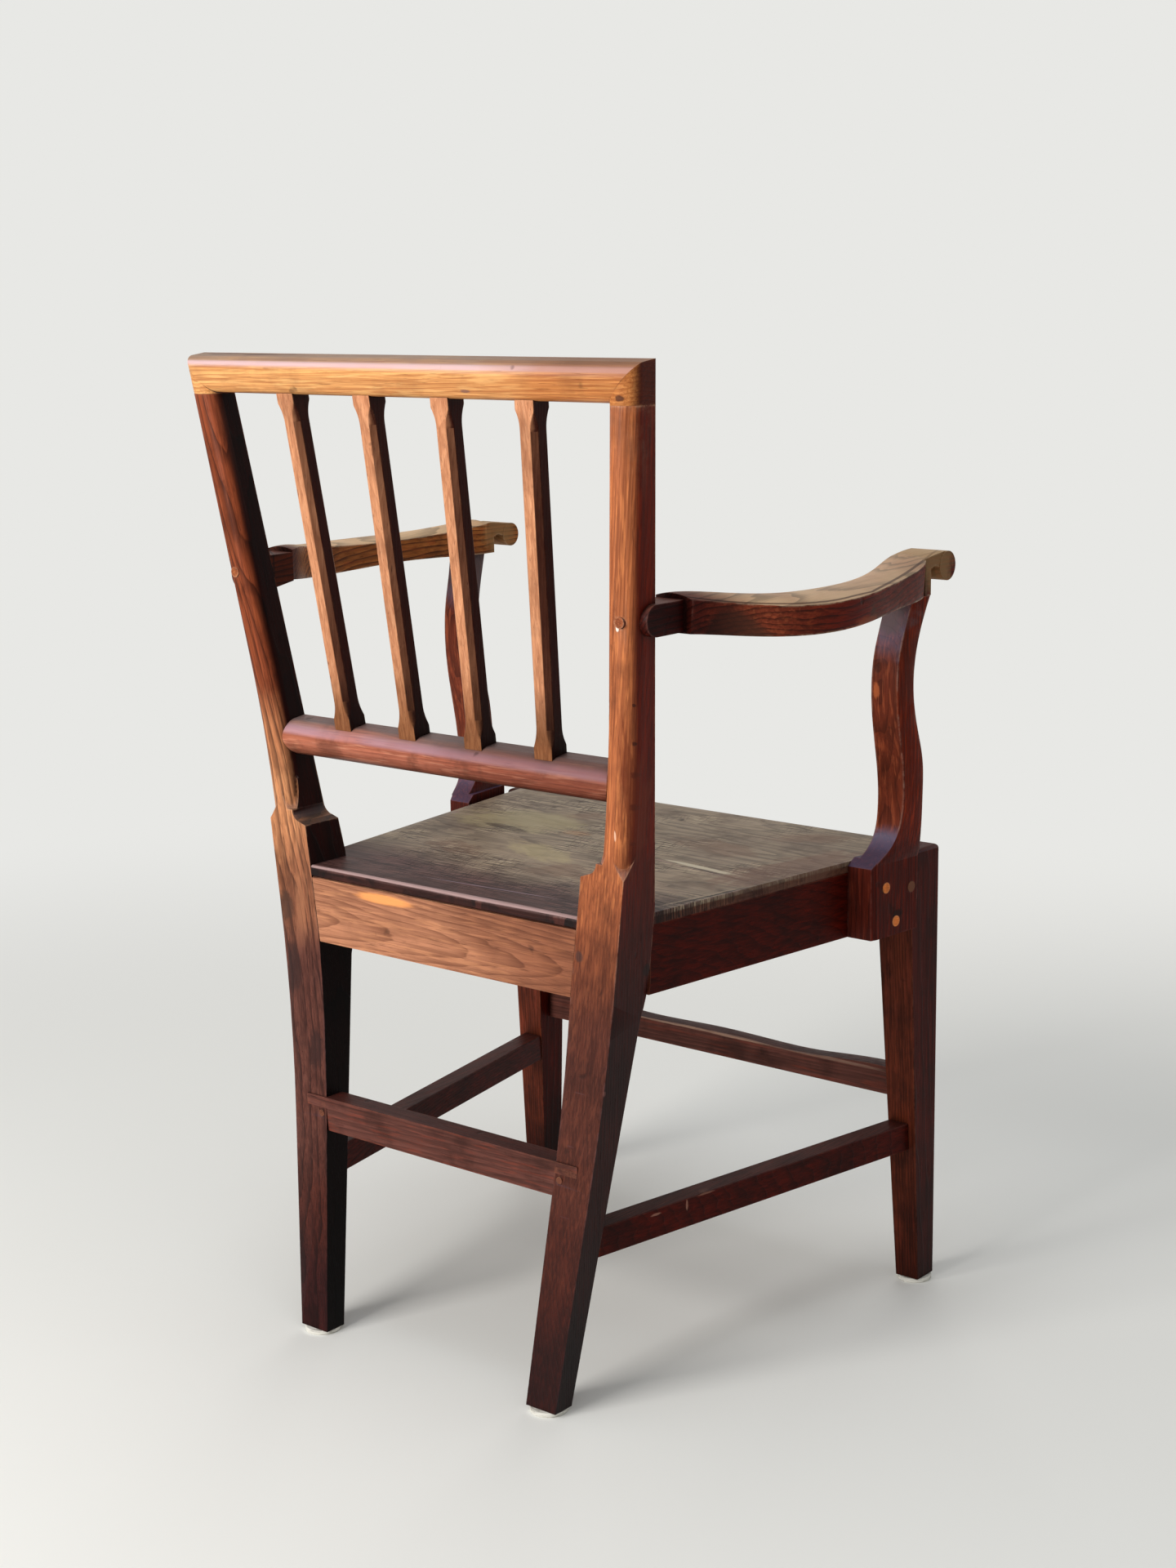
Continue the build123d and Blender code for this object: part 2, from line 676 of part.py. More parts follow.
def arm_screw(side, grow=0.0):
    """Screw through the post into the neck of an arm, its head sunk under the plug."""
    with BuildPart() as screw:
        with Locations(screw_axis(side).location):
            Cylinder(screw_radius + grow, screw_length)
            with Locations((0, 0, screw_length / 2)):
                Cone(screw_radius + grow, screw_head_radius + grow, 3.0,
                     align=(Align.CENTER, Align.CENTER, Align.MAX))
    return screw.part


def arm_plug(side, grow=0.0):
    """Round wooden plug over the head of an arm screw, just proud of the post's back."""
    reach = upper_back_y(arm_height) - back_plane_y(arm_height) - screw_length / 2 + proud
    with BuildPart() as plug:
        with Locations(screw_axis(side).location):
            with Locations((0, 0, screw_length / 2)):
                Cylinder(plug_radius + grow, reach, align=(Align.CENTER, Align.CENTER, Align.MIN))
    return plug.part


def post_back_y(z):
    """Back of a rear leg, read from the blank at a level."""
    section = post_blank.intersect(Plane.XY.offset(z))
    return max(face.bounding_box().max.Y for face in section)


def stretcher_peg(grow=0.0):
    """Peg through the left tenon of the back stretcher, driven from behind the post."""
    depth = 10.0                          # how far it goes in past the tenon's middle
    with BuildPart() as peg:
        place = Plane(origin=(inner_x(back_stretcher_mid) + 6.0, back_stretcher_y - depth,
                              back_stretcher_mid), x_dir=(1, 0, 0), z_dir=(0, 1, 0))
        reach = post_back_y(back_stretcher_mid) - back_stretcher_y + depth + proud
        with Locations(place.location):
            Cylinder(stretcher_peg_radius + grow, reach, align=(Align.CENTER, Align.CENTER, Align.MIN))
    return peg.part


def support_face_x(y):
    """Outer face of an arm support's foot."""
    return support_outer - support_turn * (y - (support_foot_rear - support_foot))


def support_peg(back, up, grow=0.0):
    """Peg through the foot of an arm support into the side rail, square to its outer face."""
    y = support_foot_rear - back
    hole = Plane(origin=(support_face_x(y), y, rail_bottom + up), x_dir=(-support_turn, 1, 0),
                 z_dir=(1, support_turn, 0))
    with BuildPart() as peg:
        with Locations(hole.location):
            with Locations((0, 0, proud)):
                Cylinder(peg_radius + grow, peg_length, align=(Align.CENTER, Align.CENTER, Align.MAX))
    return peg.part


# places of the pegs in each support's foot: forward from its rear face, and up from its bottom
support_pegs = ((19.5, 46.0), (34.0, 12.5), (56.0, 40.5))

# Side view of an arm support, as (y, height): the rear curve from the foot up, and the front
# curve from the head down. The heights are those of the right support.
support_head = arm_height + pad_under
support_rear_curve = (
    (support_foot_rear, 431.0), (-111.5, 438.0), (-119.0, 443.5), (-126.0, 451.5), (-130.5, 462.5),
    (-132.4, 480.0), (-131.0, 506.0), (-126.3, 534.0), (-120.9, 563.0), (-118.2, 600.0),
    (-121.2, 626.0), (-127.5, 648.0), (-134.7, support_head),
)
support_front_curve = (
    (-159.5, support_head), (-154.0, 658.0), (-146.6, 634.0), (-142.0, 608.0), (-142.0, 584.0),
    (-148.5, 553.0), (-156.5, 525.0), (-159.7, 495.0), (-163.0, 468.0),
    (support_foot_rear - support_foot, 440.0),
)
# Front view, as (outwards from support_outer, height): the outer and the inner edge.
support_outer_curve = ((0.0, 433.0), (10.0, 490.0), (12.5, 598.0), (15.6, support_head))
support_inner_curve = ((-11.4, support_head), (-14.5, 598.0), (-16.9, 490.0), (-19.9, 438.0))


def make_support_blank(side):
    """Arm support at +X: foot lapped on the side rail, upright curving up under the arm."""
    foot_front = support_foot_rear - support_foot
    head = arm_level(side, pad_front, pad_under + arm_trim[side])

    def stretch(curve):
        """Curve with its heights above the seat drawn out to this side's head."""
        share = (head - seat_top) / (support_head - seat_top)
        return [(u, z if z < seat_top else seat_top + (z - seat_top) * share) for u, z in curve]

    rear = stretch(support_rear_curve)
    front = stretch(support_front_curve)
    outer = [(support_outer + u, z) for u, z in stretch(support_outer_curve)]
    inner = [(support_outer + u, z) for u, z in stretch(support_inner_curve)]
    with BuildPart() as blank:
        with BuildSketch(Plane.YZ):
            with BuildLine():
                Polyline(front[-1], (foot_front, rail_bottom), (support_foot_rear, rail_bottom), rear[0])
                Spline(*rear, tangents=((-0.75, 0.66), (-0.27, 1.0)))
                Line(rear[-1], front[0])
                Spline(*front)
            make_face()
        extrude(amount=2 * leg_outer)
        with BuildSketch(Plane.XZ.offset(-foot_front)):
            with BuildLine():
                lap = support_outer - 2 * rail_stock
                Polyline(inner[-1], (lap, inner[-1][1]), (lap, rail_bottom),
                         (support_outer, rail_bottom), outer[0])
                Spline(*outer)
                Line(outer[-1], inner[0])
                Spline(*inner)
            make_face()
        extrude(amount=4 * support_foot, dir=(-support_turn, 1, 0), both=True, mode=Mode.INTERSECT)
        add(side_bar(side_line_x, rail_bottom - 1.0, seat_top + 5.0 - rail_bottom, 2 * rail_stock),
            mode=Mode.SUBTRACT)
        # the rear outer arris of the foot is taken off
        with BuildSketch(Plane.XY.offset(rail_bottom)):
            with BuildLine():
                y = support_foot_rear
                Polyline((support_face_x(y) - 1.5, y), (support_face_x(y - 6.0), y - 6.0),
                         (support_outer, y), close=True)
            make_face()
        extrude(amount=seat_top - rail_bottom + 10.0, mode=Mode.SUBTRACT)
    return blank.part


# ------------------------------------------------------------------ frame of the back
arm_blanks = {side: make_arm_blank(side) for side in hands}
bars = range(len(bar_top_x))

for side in hands:
    with BuildPart() as post:
        add(post_blank)
        add(post_top_tenon())
        sockets = [
            back_rail_tenon(clearance),
            rear_stretcher_tenon(clearance),
            side_rail_tenons(clearance)[1],
            side_stretcher_tenons(clearance)[1],
            lower_rail_tenon(clearance),
            stretcher_peg(clearance / 2),
            arm_screw(side, clearance),
            arm_plug(side, clearance / 2),
        ]
        for socket in sockets:
            add(socket, mode=Mode.SUBTRACT)
    export(post, f"post_{side}", flip=side == "right")

with BuildPart() as crest_rail:
    add(crest_blank)
    for socket in [post_top_tenon(clearance)] + [bar_tenons(place, clearance) for place in bars]:
        add(both_sides(socket), mode=Mode.SUBTRACT)
export(crest_rail, "crest_rail")

with BuildPart() as lower_back_rail:
    add(lower_rail_blank)
    add(post_blanks, mode=Mode.SUBTRACT)
    add(both_sides(lower_rail_tenon()))
    for place in bars:
        add(both_sides(bar_tenons(place, clearance)), mode=Mode.SUBTRACT)
export(lower_back_rail, "lower_back_rail")

for place, number in zip(bars, (3, 4)):
    foot, top = bar_axis(place)
    length = (top - foot).length
    with BuildPart() as square_bar:
        Box(bar_stock, bar_stock, length, align=(Align.CENTER, Align.CENTER, Align.MIN))
        for across, back in ((1, 1), (-1, 1), (1, -1), (-1, -1)):
            # stopped chamfer along one arris, with a curved run-out at each end
            arris = Plane(origin=(across * bar_stock / 2, back * bar_stock / 2, 0), x_dir=(0, 0, 1),
                          z_dir=(back, -across, 0))
            start, stop = 14.0, length - 13.0
            cut = bar_chamfer / 2 ** 0.5
            with BuildSketch(arris):
                with BuildLine():
                    TangentArc((start + chamfer_stop, cut), (start, 0), tangent=(-1, 0))
                    Line((start + chamfer_stop, cut), (stop - chamfer_stop, cut))
                    TangentArc((stop - chamfer_stop, cut), (stop, 0), tangent=(1, 0))
                    Line((stop, 0), (start, 0))
                make_face()
            extrude(amount=bar_stock / 2, both=True, mode=Mode.SUBTRACT)
    with BuildPart() as back_bar:
        add(square_bar.part.moved(bar_plane(place).location))
        add(crest_blank, mode=Mode.SUBTRACT)
        add(lower_rail_blank, mode=Mode.SUBTRACT)
        add(bar_tenons(place))
    export(back_bar, f"back_bar_{number}")
    export(back_bar, f"back_bar_{5 - number}", flip=True)

# ------------------------------------------------------------------ seat frame
with BuildPart() as back_seat_rail:
    with BuildSketch(Plane.XY.offset(rail_bottom)):
        with Locations((0, seat_back)):
            Rectangle(
                2 * outer_x(rail_bottom) - post_width_seat, rail_stock, align=(Align.CENTER, Align.MAX)
            )
    extrude(amount=seat_rail_depth)
    chamfer(back_seat_rail.edges().group_by(Axis.Z)[-1].sort_by(Axis.Y)[-1], seam_chamfer)
    add(post_blanks, mode=Mode.SUBTRACT)
    add(both_sides(back_rail_tenon()))
export(back_seat_rail, "back_seat_rail")

with BuildPart() as front_seat_rail:
    with Locations((0, front_rail_y, rail_mid)):
        Box(2 * front_rail_inner, rail_stock, seat_rail_depth)
    add(both_sides(front_rail_tenon()))
export(front_seat_rail, "front_seat_rail")

with BuildPart() as side_seat_rail:
    add(side_bar(side_line_x, rail_bottom, seat_rail_depth, rail_stock))
    add([post_slab, leg_blank], mode=Mode.SUBTRACT)
    add(side_rail_tenons())
    for place in support_pegs:
        add(support_peg(*place, clearance / 2), mode=Mode.SUBTRACT)
export_pair(side_seat_rail, "side_seat_rail")

# ------------------------------------------------------------------ seat boards
def worn_edge(start, end):
    """Cutter for a worn top edge between two points: an arc that falls away to the edge."""
    reach, drop = edge_wear
    along = (Vector(*end) - Vector(*start)).normalized()
    outward = Vector(0, 0, 1).cross(along)
    with BuildPart() as cutter:
        with BuildSketch(Plane(origin=(*start, seat_top), x_dir=outward, z_dir=along)):
            with BuildLine():
                TangentArc((-reach, 0), (0, -drop), tangent=(1, 0))
                Polyline((0, -drop), (1, -drop), (1, 1), (-reach, 1), (-reach, 0))
            make_face()
        extrude(amount=2 * leg_outer, both=True)
    return cutter.part


def leg_notch():
    """Room in the seat for the top of the left front leg."""
    with BuildPart() as notch:
        with Locations((leg_outer, chair_front, seat_underside)):
            Box(leg_width, leg_depth, 2 * seat_board, align=(Align.MAX, Align.MIN, Align.MIN))
    return notch.part


front_corner = (side_line_x(seat_front) - 0.5, seat_front)
rear_corner = (side_line_x(seat_back), seat_back)
for name, rear_half in (("seat_board_rear", True), ("seat_board_front", False)):
    with BuildPart() as board:
        with BuildSketch(Plane.XY.offset(seat_underside)):
            with BuildLine():
                Polyline(front_corner, rear_corner, (-rear_corner[0], seat_back),
                         (-front_corner[0], seat_front), close=True)
            make_face()
        extrude(amount=seat_board)
        fillet(board.edges().group_by(Axis.Z)[-1].sort_by(Axis.Y)[-1], seat_rounding)
        chamfer(board.edges().group_by(Axis.Z)[0].sort_by(Axis.Y)[-1], seam_chamfer)
        add(worn_edge(front_corner, (-front_corner[0], seat_front)), mode=Mode.SUBTRACT)
        add(worn_edge(rear_corner, front_corner), mode=Mode.SUBTRACT)
        add(post_blanks + both_sides(leg_notch()), mode=Mode.SUBTRACT)
        with BuildSketch(Plane.XY.offset(seat_underside)):
            with BuildLine():
                sweep_y = chair_front - 20.0 if rear_half else seat_back + 20.0
                gap = -0.15 if rear_half else 0.15
                joint = [(x, y - gap) for x, y in seat_joint]
                Polyline(*joint, (joint[-1][0], sweep_y), (joint[0][0], sweep_y), close=True)
            make_face()
        extrude(amount=seat_board, mode=Mode.SUBTRACT)
    export(board, name)

# ------------------------------------------------------------------ front legs
with BuildPart() as front_leg:
    add(leg_blank)
    sockets = [
        front_rail_tenon(clearance),
        front_stretcher_tenon(clearance),
        side_rail_tenons(clearance)[0],
        side_stretcher_tenons(clearance)[0],
    ]
    for socket in sockets:
        add(socket, mode=Mode.SUBTRACT)
export_pair(front_leg, "front_leg")

# ------------------------------------------------------------------ stretchers
with BuildPart() as back_stretcher:
    with Locations((0, back_stretcher_y, back_stretcher_mid)):
        Box(2 * outer_x(back_stretcher_mid) - post_width_low, stretcher_stock, back_stretcher_height)
    add(post_blanks, mode=Mode.SUBTRACT)
    add(both_sides(rear_stretcher_tenon()))
    add(both_sides(stretcher_peg(clearance / 2)), mode=Mode.SUBTRACT)
export(back_stretcher, "back_stretcher")

with BuildPart() as side_stretcher:
    add(side_bar(stretcher_line_x, side_stretcher_bottom, side_stretcher_height, stretcher_stock))
    add([post_slab, leg_blank], mode=Mode.SUBTRACT)
    add(side_stretcher_tenons())
export_pair(side_stretcher, "side_stretcher")

with BuildPart() as front_stretcher:
    end_x = leg_outer - leg_foot_width / 2
    low, high = front_stretcher_bottom, front_stretcher_bottom + front_stretcher_height
    with BuildSketch(Plane.XZ.offset(-front_stretcher_y)):
        with BuildLine():
            Polyline((-0.85 * end_x, high), (-end_x, high), (-end_x, low), (end_x, low),
                     (end_x, high), (0.8 * end_x, high))
            Spline((0.8 * end_x, high), (0.42 * end_x, high - stretcher_wear),
                   (0.0, high - 0.7 * stretcher_wear), (-0.48 * end_x, high - stretcher_wear),
                   (-0.85 * end_x, high), tangents=((-1, 0), (-1, 0)))
        make_face()
    extrude(amount=front_stretcher_stock / 2, both=True)
    add(leg_blanks, mode=Mode.SUBTRACT)
    add(both_sides(front_stretcher_tenon()))
export(front_stretcher, "front_stretcher")

# ------------------------------------------------------------------ arms and their supports
for side in hands:
    flip = side == "right"
    with BuildPart() as arm:
        add(arm_blanks[side])
        add(support_dowel(side, clearance), mode=Mode.SUBTRACT)
        add(arm_screw(side, clearance), mode=Mode.SUBTRACT)
    export(arm, f"arm_{side}", flip)

    with BuildPart() as arm_support:
        add(make_support_blank(side))
        add(arm_blanks[side], mode=Mode.SUBTRACT)
        add(support_dowel(side))
        for place in support_pegs:
            add(support_peg(*place, clearance / 2), mode=Mode.SUBTRACT)
    export(arm_support, f"arm_support_{side}", flip)

    with BuildPart() as arm_support_pegs:
        for place in support_pegs:
            add(support_peg(*place))
    export(arm_support_pegs, f"arm_support_pegs_{side}", flip)

    with BuildPart() as screw_plug:
        add(arm_plug(side))
    export(screw_plug, f"arm_plug_{side}", flip)

    with BuildPart() as screw:
        add(arm_screw(side))
    export(screw, f"arm_screw_{side}", flip)

with BuildPart() as stretcher_pegs:
    add(stretcher_peg())
    mirror(about=Plane.YZ)
export(stretcher_pegs, "back_stretcher_pegs")

# ------------------------------------------------------------------ glide pads
rear_foot = ((foot_outer + foot_inner) / 2, foot_back - foot_depth / 2)
front_foot = (leg_outer - leg_foot_width / 2, chair_front + leg_foot_depth / 2)
for name, place in (("rear", rear_foot), ("front", front_foot)):
    with BuildPart() as pad:
        with Locations(place):
            Cylinder(pad_diameter / 2, pad_height, align=(Align.CENTER, Align.CENTER, Align.MIN))
        chamfer(pad.edges().filter_by(GeomType.CIRCLE), pad_chamfer)
    export_pair(pad, f"foot_pad_{name}")
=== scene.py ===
"""Open-back elbow chair in old waxed wood, standing on a plain pale floor."""
import math

import bmesh
import bpy
from mathutils import Matrix, Vector

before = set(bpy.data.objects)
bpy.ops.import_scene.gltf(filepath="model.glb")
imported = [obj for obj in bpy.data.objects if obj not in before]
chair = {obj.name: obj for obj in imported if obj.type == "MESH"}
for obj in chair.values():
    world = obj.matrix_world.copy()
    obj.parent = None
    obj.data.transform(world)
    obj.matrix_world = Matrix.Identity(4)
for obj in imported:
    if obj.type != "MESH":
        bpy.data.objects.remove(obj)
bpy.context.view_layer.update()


# ---------------------------------------------------------------- rear posts
# The two rear posts are sawn and shaved from one plank each of coarse, open-grained wood: square
# at the seat, a rounded back above it with lamb's tongues, and a taper to the floor. They were
# stained and waxed, and hands have rubbed the arrises. Their backs, turned to the lamp, stay a faded
# orange, while the sides turned from it are painted darker: daylight fading and painted shade both.
# From the seat down and again near the floor they are painted darker still, as painted shade.

def tone(red, green, blue):
    """A colour given 0 to 255, as the shader's linear colour."""
    linear = []
    for level in (red, green, blue):
        share = level / 255
        linear.append(share / 12.92 if share <= 0.04045 else ((share + 0.055) / 1.055) ** 2.4)
    return (*linear, 1.0)


def put(tree, kind, settings=None, **sockets):
    """Adds a node. settings are its own properties; sockets are input values or output sockets to link."""
    made = tree.nodes.new(kind)
    for key, value in (settings or {}).items():
        setattr(made, key, value)
    for key, value in sockets.items():
        wire(tree, value, made.inputs[key.replace("_", " ")])
    return made


def wire(tree, value, socket):
    """Links an output to a socket, or sets the socket's own value."""
    if isinstance(value, bpy.types.NodeSocket):
        tree.links.new(value, socket)
    else:
        socket.default_value = value


def sum_of(tree, operation, first, second=0.5, third=None):
    """One Math node, and its result."""
    made = put(tree, "ShaderNodeMath", {"operation": operation})
    for socket, value in zip(made.inputs, (first, second, third)):
        if value is not None:
            wire(tree, value, socket)
    return made.outputs[0]


def ramp(tree, value, low, high, start=0.0, end=1.0):
    """A smooth step from start to end as the value goes from low to high."""
    made = put(tree, "ShaderNodeMapRange", {"interpolation_type": "SMOOTHSTEP"}, Value=value,
               From_Min=low, From_Max=high, To_Min=start, To_Max=end)
    return made.outputs[0]


def blend(tree, amount, under, over, how="MIX"):
    """Lays one colour over another."""
    made = put(tree, "ShaderNodeMix", {"data_type": "RGBA", "blend_type": how, "clamp_factor": True})
    wire(tree, amount, made.inputs[0])
    wire(tree, under, made.inputs[6])
    wire(tree, over, made.inputs[7])
    return made.outputs[2]


def stretched(tree, vector, x, y, z):
    """The same place measured in other units along each axis."""
    made = put(tree, "ShaderNodeVectorMath", {"operation": "MULTIPLY"})
    wire(tree, vector, made.inputs[0])
    made.inputs[1].default_value = (x, y, z)
    return made.outputs[0]


def cloud(tree, vector, scale=1.0, detail=2.0, roughness=0.5):
    """Plain noise at a place."""
    made = put(tree, "ShaderNodeTexNoise", Vector=vector, Scale=scale, Detail=detail, Roughness=roughness)
    return made.outputs["Fac"]


def new_effect(name, takes, gives):
    """An empty node group with named sockets, given as (name, kind, value)."""
    group = bpy.data.node_groups.new(name, "ShaderNodeTree")
    kinds = {"value": "NodeSocketFloat", "colour": "NodeSocketColor", "vector": "NodeSocketVector"}
    for label, kind, start in takes:
        socket = group.interface.new_socket(label, in_out="INPUT", socket_type=kinds[kind])
        if start is not None:
            socket.default_value = start
    for label, kind in gives:
        group.interface.new_socket(label, in_out="OUTPUT", socket_type=kinds[kind])
    return group, group.nodes.new("NodeGroupInput").outputs, group.nodes.new("NodeGroupOutput")


# Sawn grain: rings round a heart line, cut lengthwise, with fibres and open pores along them.
# The vector has X along the grain and the heart at zero on Y and Z, in metres. Each scale says how
# many times a metre the noise varies along, across and through the board.
grain, told, shown = new_effect("sawn_grain", (
    ("Vector", "vector", None), ("Pale", "colour", tone(205, 150, 95)), ("Dark", "colour", tone(110, 60, 30)),
    ("Pore", "colour", tone(40, 20, 12)), ("Ring Width", "value", 0.004), ("Sweep", "value", 0.02),
    ("Wobble", "value", 0.012), ("Figure", "value", 0.7), ("Streak", "value", 0.5),
    ("Flame", "colour", tone(226, 150, 96)), ("Fleck", "value", 0.0)),
    (("Color", "colour"), ("Height", "value"), ("Gloss", "value")))
DRIFT_SCALE = (4.0, 16.0, 16.0)
RIPPLE_SCALE = (9.0, 80.0, 80.0)
FIBRE_SCALE = (14.0, 620.0, 620.0)
STRAND_SCALE = (5.0, 130.0, 130.0)
PORE_SCALE = (55.0, 1500.0, 1500.0)
FLECK_SCALE = (26.0, 340.0, 340.0)
part = put(grain, "ShaderNodeSeparateXYZ", Vector=told["Vector"])
across = put(grain, "ShaderNodeCombineXYZ", Y=part.outputs["Y"], Z=part.outputs["Z"])
radius = put(grain, "ShaderNodeVectorMath", {"operation": "LENGTH"})
wire(grain, across.outputs[0], radius.inputs[0])
drift = cloud(grain, stretched(grain, told["Vector"], *DRIFT_SCALE), detail=2.0)
ripple = cloud(grain, stretched(grain, told["Vector"], *RIPPLE_SCALE), detail=2.0)
wander = sum_of(grain, "MULTIPLY", sum_of(grain, "SUBTRACT", drift, 0.5), told["Wobble"])
shiver = sum_of(grain, "MULTIPLY", sum_of(grain, "SUBTRACT", ripple, 0.5), told["Ring Width"])
leaning = sum_of(grain, "MULTIPLY_ADD", part.outputs["X"], told["Sweep"], radius.outputs["Value"])
reach = sum_of(grain, "ADD", sum_of(grain, "ADD", leaning, wander), shiver)
ring = sum_of(grain, "FRACT", sum_of(grain, "DIVIDE", reach, told["Ring Width"]))
LATE_WOOD_POWER = 2.4
late = sum_of(grain, "POWER", ring, LATE_WOOD_POWER)
late = sum_of(grain, "MULTIPLY", late, ramp(grain, ring, 1.0, 0.93))
fibre = cloud(grain, stretched(grain, told["Vector"], *FIBRE_SCALE), detail=3.0, roughness=0.6)
strand = cloud(grain, stretched(grain, told["Vector"], *STRAND_SCALE), detail=2.0)
pits = ramp(grain, cloud(grain, stretched(grain, told["Vector"], *PORE_SCALE)), 0.60, 0.70)
pits = sum_of(grain, "MULTIPLY", pits, ramp(grain, ring, 0.75, 0.15))
colour = blend(grain, sum_of(grain, "MULTIPLY", late, told["Figure"]), told["Pale"], told["Dark"])
threads = sum_of(grain, "MULTIPLY_ADD", fibre, 0.6, sum_of(grain, "MULTIPLY", strand, 0.4))
threads = ramp(grain, threads, 0.38, 0.62)
colour = blend(grain, sum_of(grain, "MULTIPLY", threads, told["Streak"]), colour, told["Dark"])
flecks = cloud(grain, stretched(grain, told["Vector"], *FLECK_SCALE), detail=2.0)
flame = ramp(grain, flecks, 0.52, 0.68)
colour = blend(grain, sum_of(grain, "MULTIPLY", flame, told["Fleck"]), colour, told["Flame"])
colour = blend(grain, sum_of(grain, "MULTIPLY", pits, 0.55), colour, told["Pore"])
wire(grain, colour, shown.inputs["Color"])
hard = sum_of(grain, "MULTIPLY_ADD", late, 0.5, sum_of(grain, "MULTIPLY", fibre, 0.35))
wire(grain, sum_of(grain, "SUBTRACT", hard, sum_of(grain, "MULTIPLY", pits, 0.8)), shown.inputs["Height"])
wire(grain, sum_of(grain, "MULTIPLY_ADD", pits, 0.25, sum_of(grain, "MULTIPLY", fibre, 0.12)),
     shown.inputs["Gloss"])

# Two centuries of use, with painted light: stain gone patchy, daylight fading together with painted
# shade on the sides turned from the lamp, a painted sheen on what slopes up, dust on what lies flat,
# painted shade in the corners and where parts meet with dirt there too, arrises rubbed pale, and small
# knocks.
use_and_light, told, shown = new_effect("use_and_painted_light", (
    ("Color", "colour", None), ("Vector", "vector", None),
    ("Unfaded And Shaded Tint", "colour", tone(150, 110, 100)), ("Fade And Shade From", "value", -0.2), ("Fade And Shade To", "value", 0.7),
    ("Stain", "colour", tone(60, 28, 18)), ("Stain Amount", "value", 0.4), ("Stain Size", "value", 0.05),
    ("Dust", "colour", tone(150, 135, 125)), ("Dust Amount", "value", 0.3),
    ("Sheen", "colour", tone(200, 165, 165)), ("Sheen Amount", "value", 0.0),
    ("Arris", "colour", tone(200, 150, 110)), ("Arris Amount", "value", 0.5),
    ("Arris Width", "value", 0.0025), ("Corner Shade And Dirt", "value", 0.7)),
    (("Color", "colour"), ("Rub", "value"), ("Knocks", "value")))
LIGHT_FROM_BEHIND = 0.93
LIGHT_FROM_LEFT = 0.30
LIGHT_FROM_ABOVE = 0.20
CORNER_SHADE_REACH = 0.012
CORNER_SHADE_AND_GRIME = tone(22, 12, 9)
DENT = tone(35, 18, 12)
facing = put(use_and_light, "ShaderNodeNewGeometry")
look = put(use_and_light, "ShaderNodeSeparateXYZ", Vector=facing.outputs["Normal"])
# Painted shade: faces turned away from the lamp behind and to the left take the unfaded tint, which also
# stands for wood the daylight has not faded.
facing_lamp = sum_of(use_and_light, "ABSOLUTE", look.outputs["Y"])
facing_lamp = sum_of(use_and_light, "MULTIPLY", facing_lamp, LIGHT_FROM_BEHIND)
facing_lamp = sum_of(use_and_light, "MULTIPLY_ADD", look.outputs["X"], LIGHT_FROM_LEFT, facing_lamp)
facing_lamp = sum_of(use_and_light, "MULTIPLY_ADD", look.outputs["Z"], LIGHT_FROM_ABOVE, facing_lamp)
patch = cloud(use_and_light, stretched(use_and_light, told["Vector"], 9.0, 9.0, 5.0), detail=3.0)
uneven = sum_of(use_and_light, "MULTIPLY_ADD", sum_of(use_and_light, "SUBTRACT", patch, 0.5), 0.35, facing_lamp)
faded_and_lit = put(use_and_light, "ShaderNodeMapRange", {"interpolation_type": "SMOOTHSTEP"}, Value=uneven,
            From_Min=told["Fade And Shade From"], From_Max=told["Fade And Shade To"]).outputs[0]
shaded_and_unfaded = blend(use_and_light, 1.0, told["Color"], told["Unfaded And Shaded Tint"], "MULTIPLY")
colour = blend(use_and_light, faded_and_lit, shaded_and_unfaded, told["Color"])
blotch = put(use_and_light, "ShaderNodeTexNoise", Detail=4.0, Roughness=0.6, Vector=told["Vector"],
             Scale=sum_of(use_and_light, "DIVIDE", 1.0, told["Stain Size"])).outputs["Fac"]
colour = blend(use_and_light, sum_of(use_and_light, "MULTIPLY", ramp(use_and_light, blotch, 0.47, 0.68), told["Stain Amount"]), colour,
               told["Stain"])
upward = look.outputs["Z"]
# A painted sheen: faces sloping up at a middle angle take the sheen colour, where the wax would mirror the
# sky.
sheen_slope = sum_of(use_and_light, "MULTIPLY", ramp(use_and_light, upward, 0.12, 0.42), ramp(use_and_light, upward, 0.86, 0.62))
sheen_slope = sum_of(use_and_light, "MULTIPLY", sheen_slope, ramp(use_and_light, patch, 0.25, 0.55, 0.4, 1.0))
colour = blend(use_and_light, sum_of(use_and_light, "MULTIPLY", sheen_slope, told["Sheen Amount"]), colour, told["Sheen"])
film = sum_of(use_and_light, "MULTIPLY", ramp(use_and_light, upward, 0.45, 0.95), ramp(use_and_light, patch, 0.3, 0.6, 0.55, 1.0))
colour = blend(use_and_light, sum_of(use_and_light, "MULTIPLY", film, told["Dust Amount"]), colour, told["Dust"])
eased = put(use_and_light, "ShaderNodeBevel", {"samples": 6}, Radius=told["Arris Width"])
turned = put(use_and_light, "ShaderNodeVectorMath", {"operation": "DOT_PRODUCT"})
wire(use_and_light, eased.outputs["Normal"], turned.inputs[0])
wire(use_and_light, facing.outputs["True Normal"], turned.inputs[1])
crumbs = cloud(use_and_light, stretched(use_and_light, told["Vector"], 70.0, 70.0, 70.0), detail=4.0, roughness=0.7)
broken = ramp(use_and_light, crumbs, 0.38, 0.62)
corner = sum_of(use_and_light, "MULTIPLY", ramp(use_and_light, turned.outputs["Value"], 0.99, 0.90), broken)
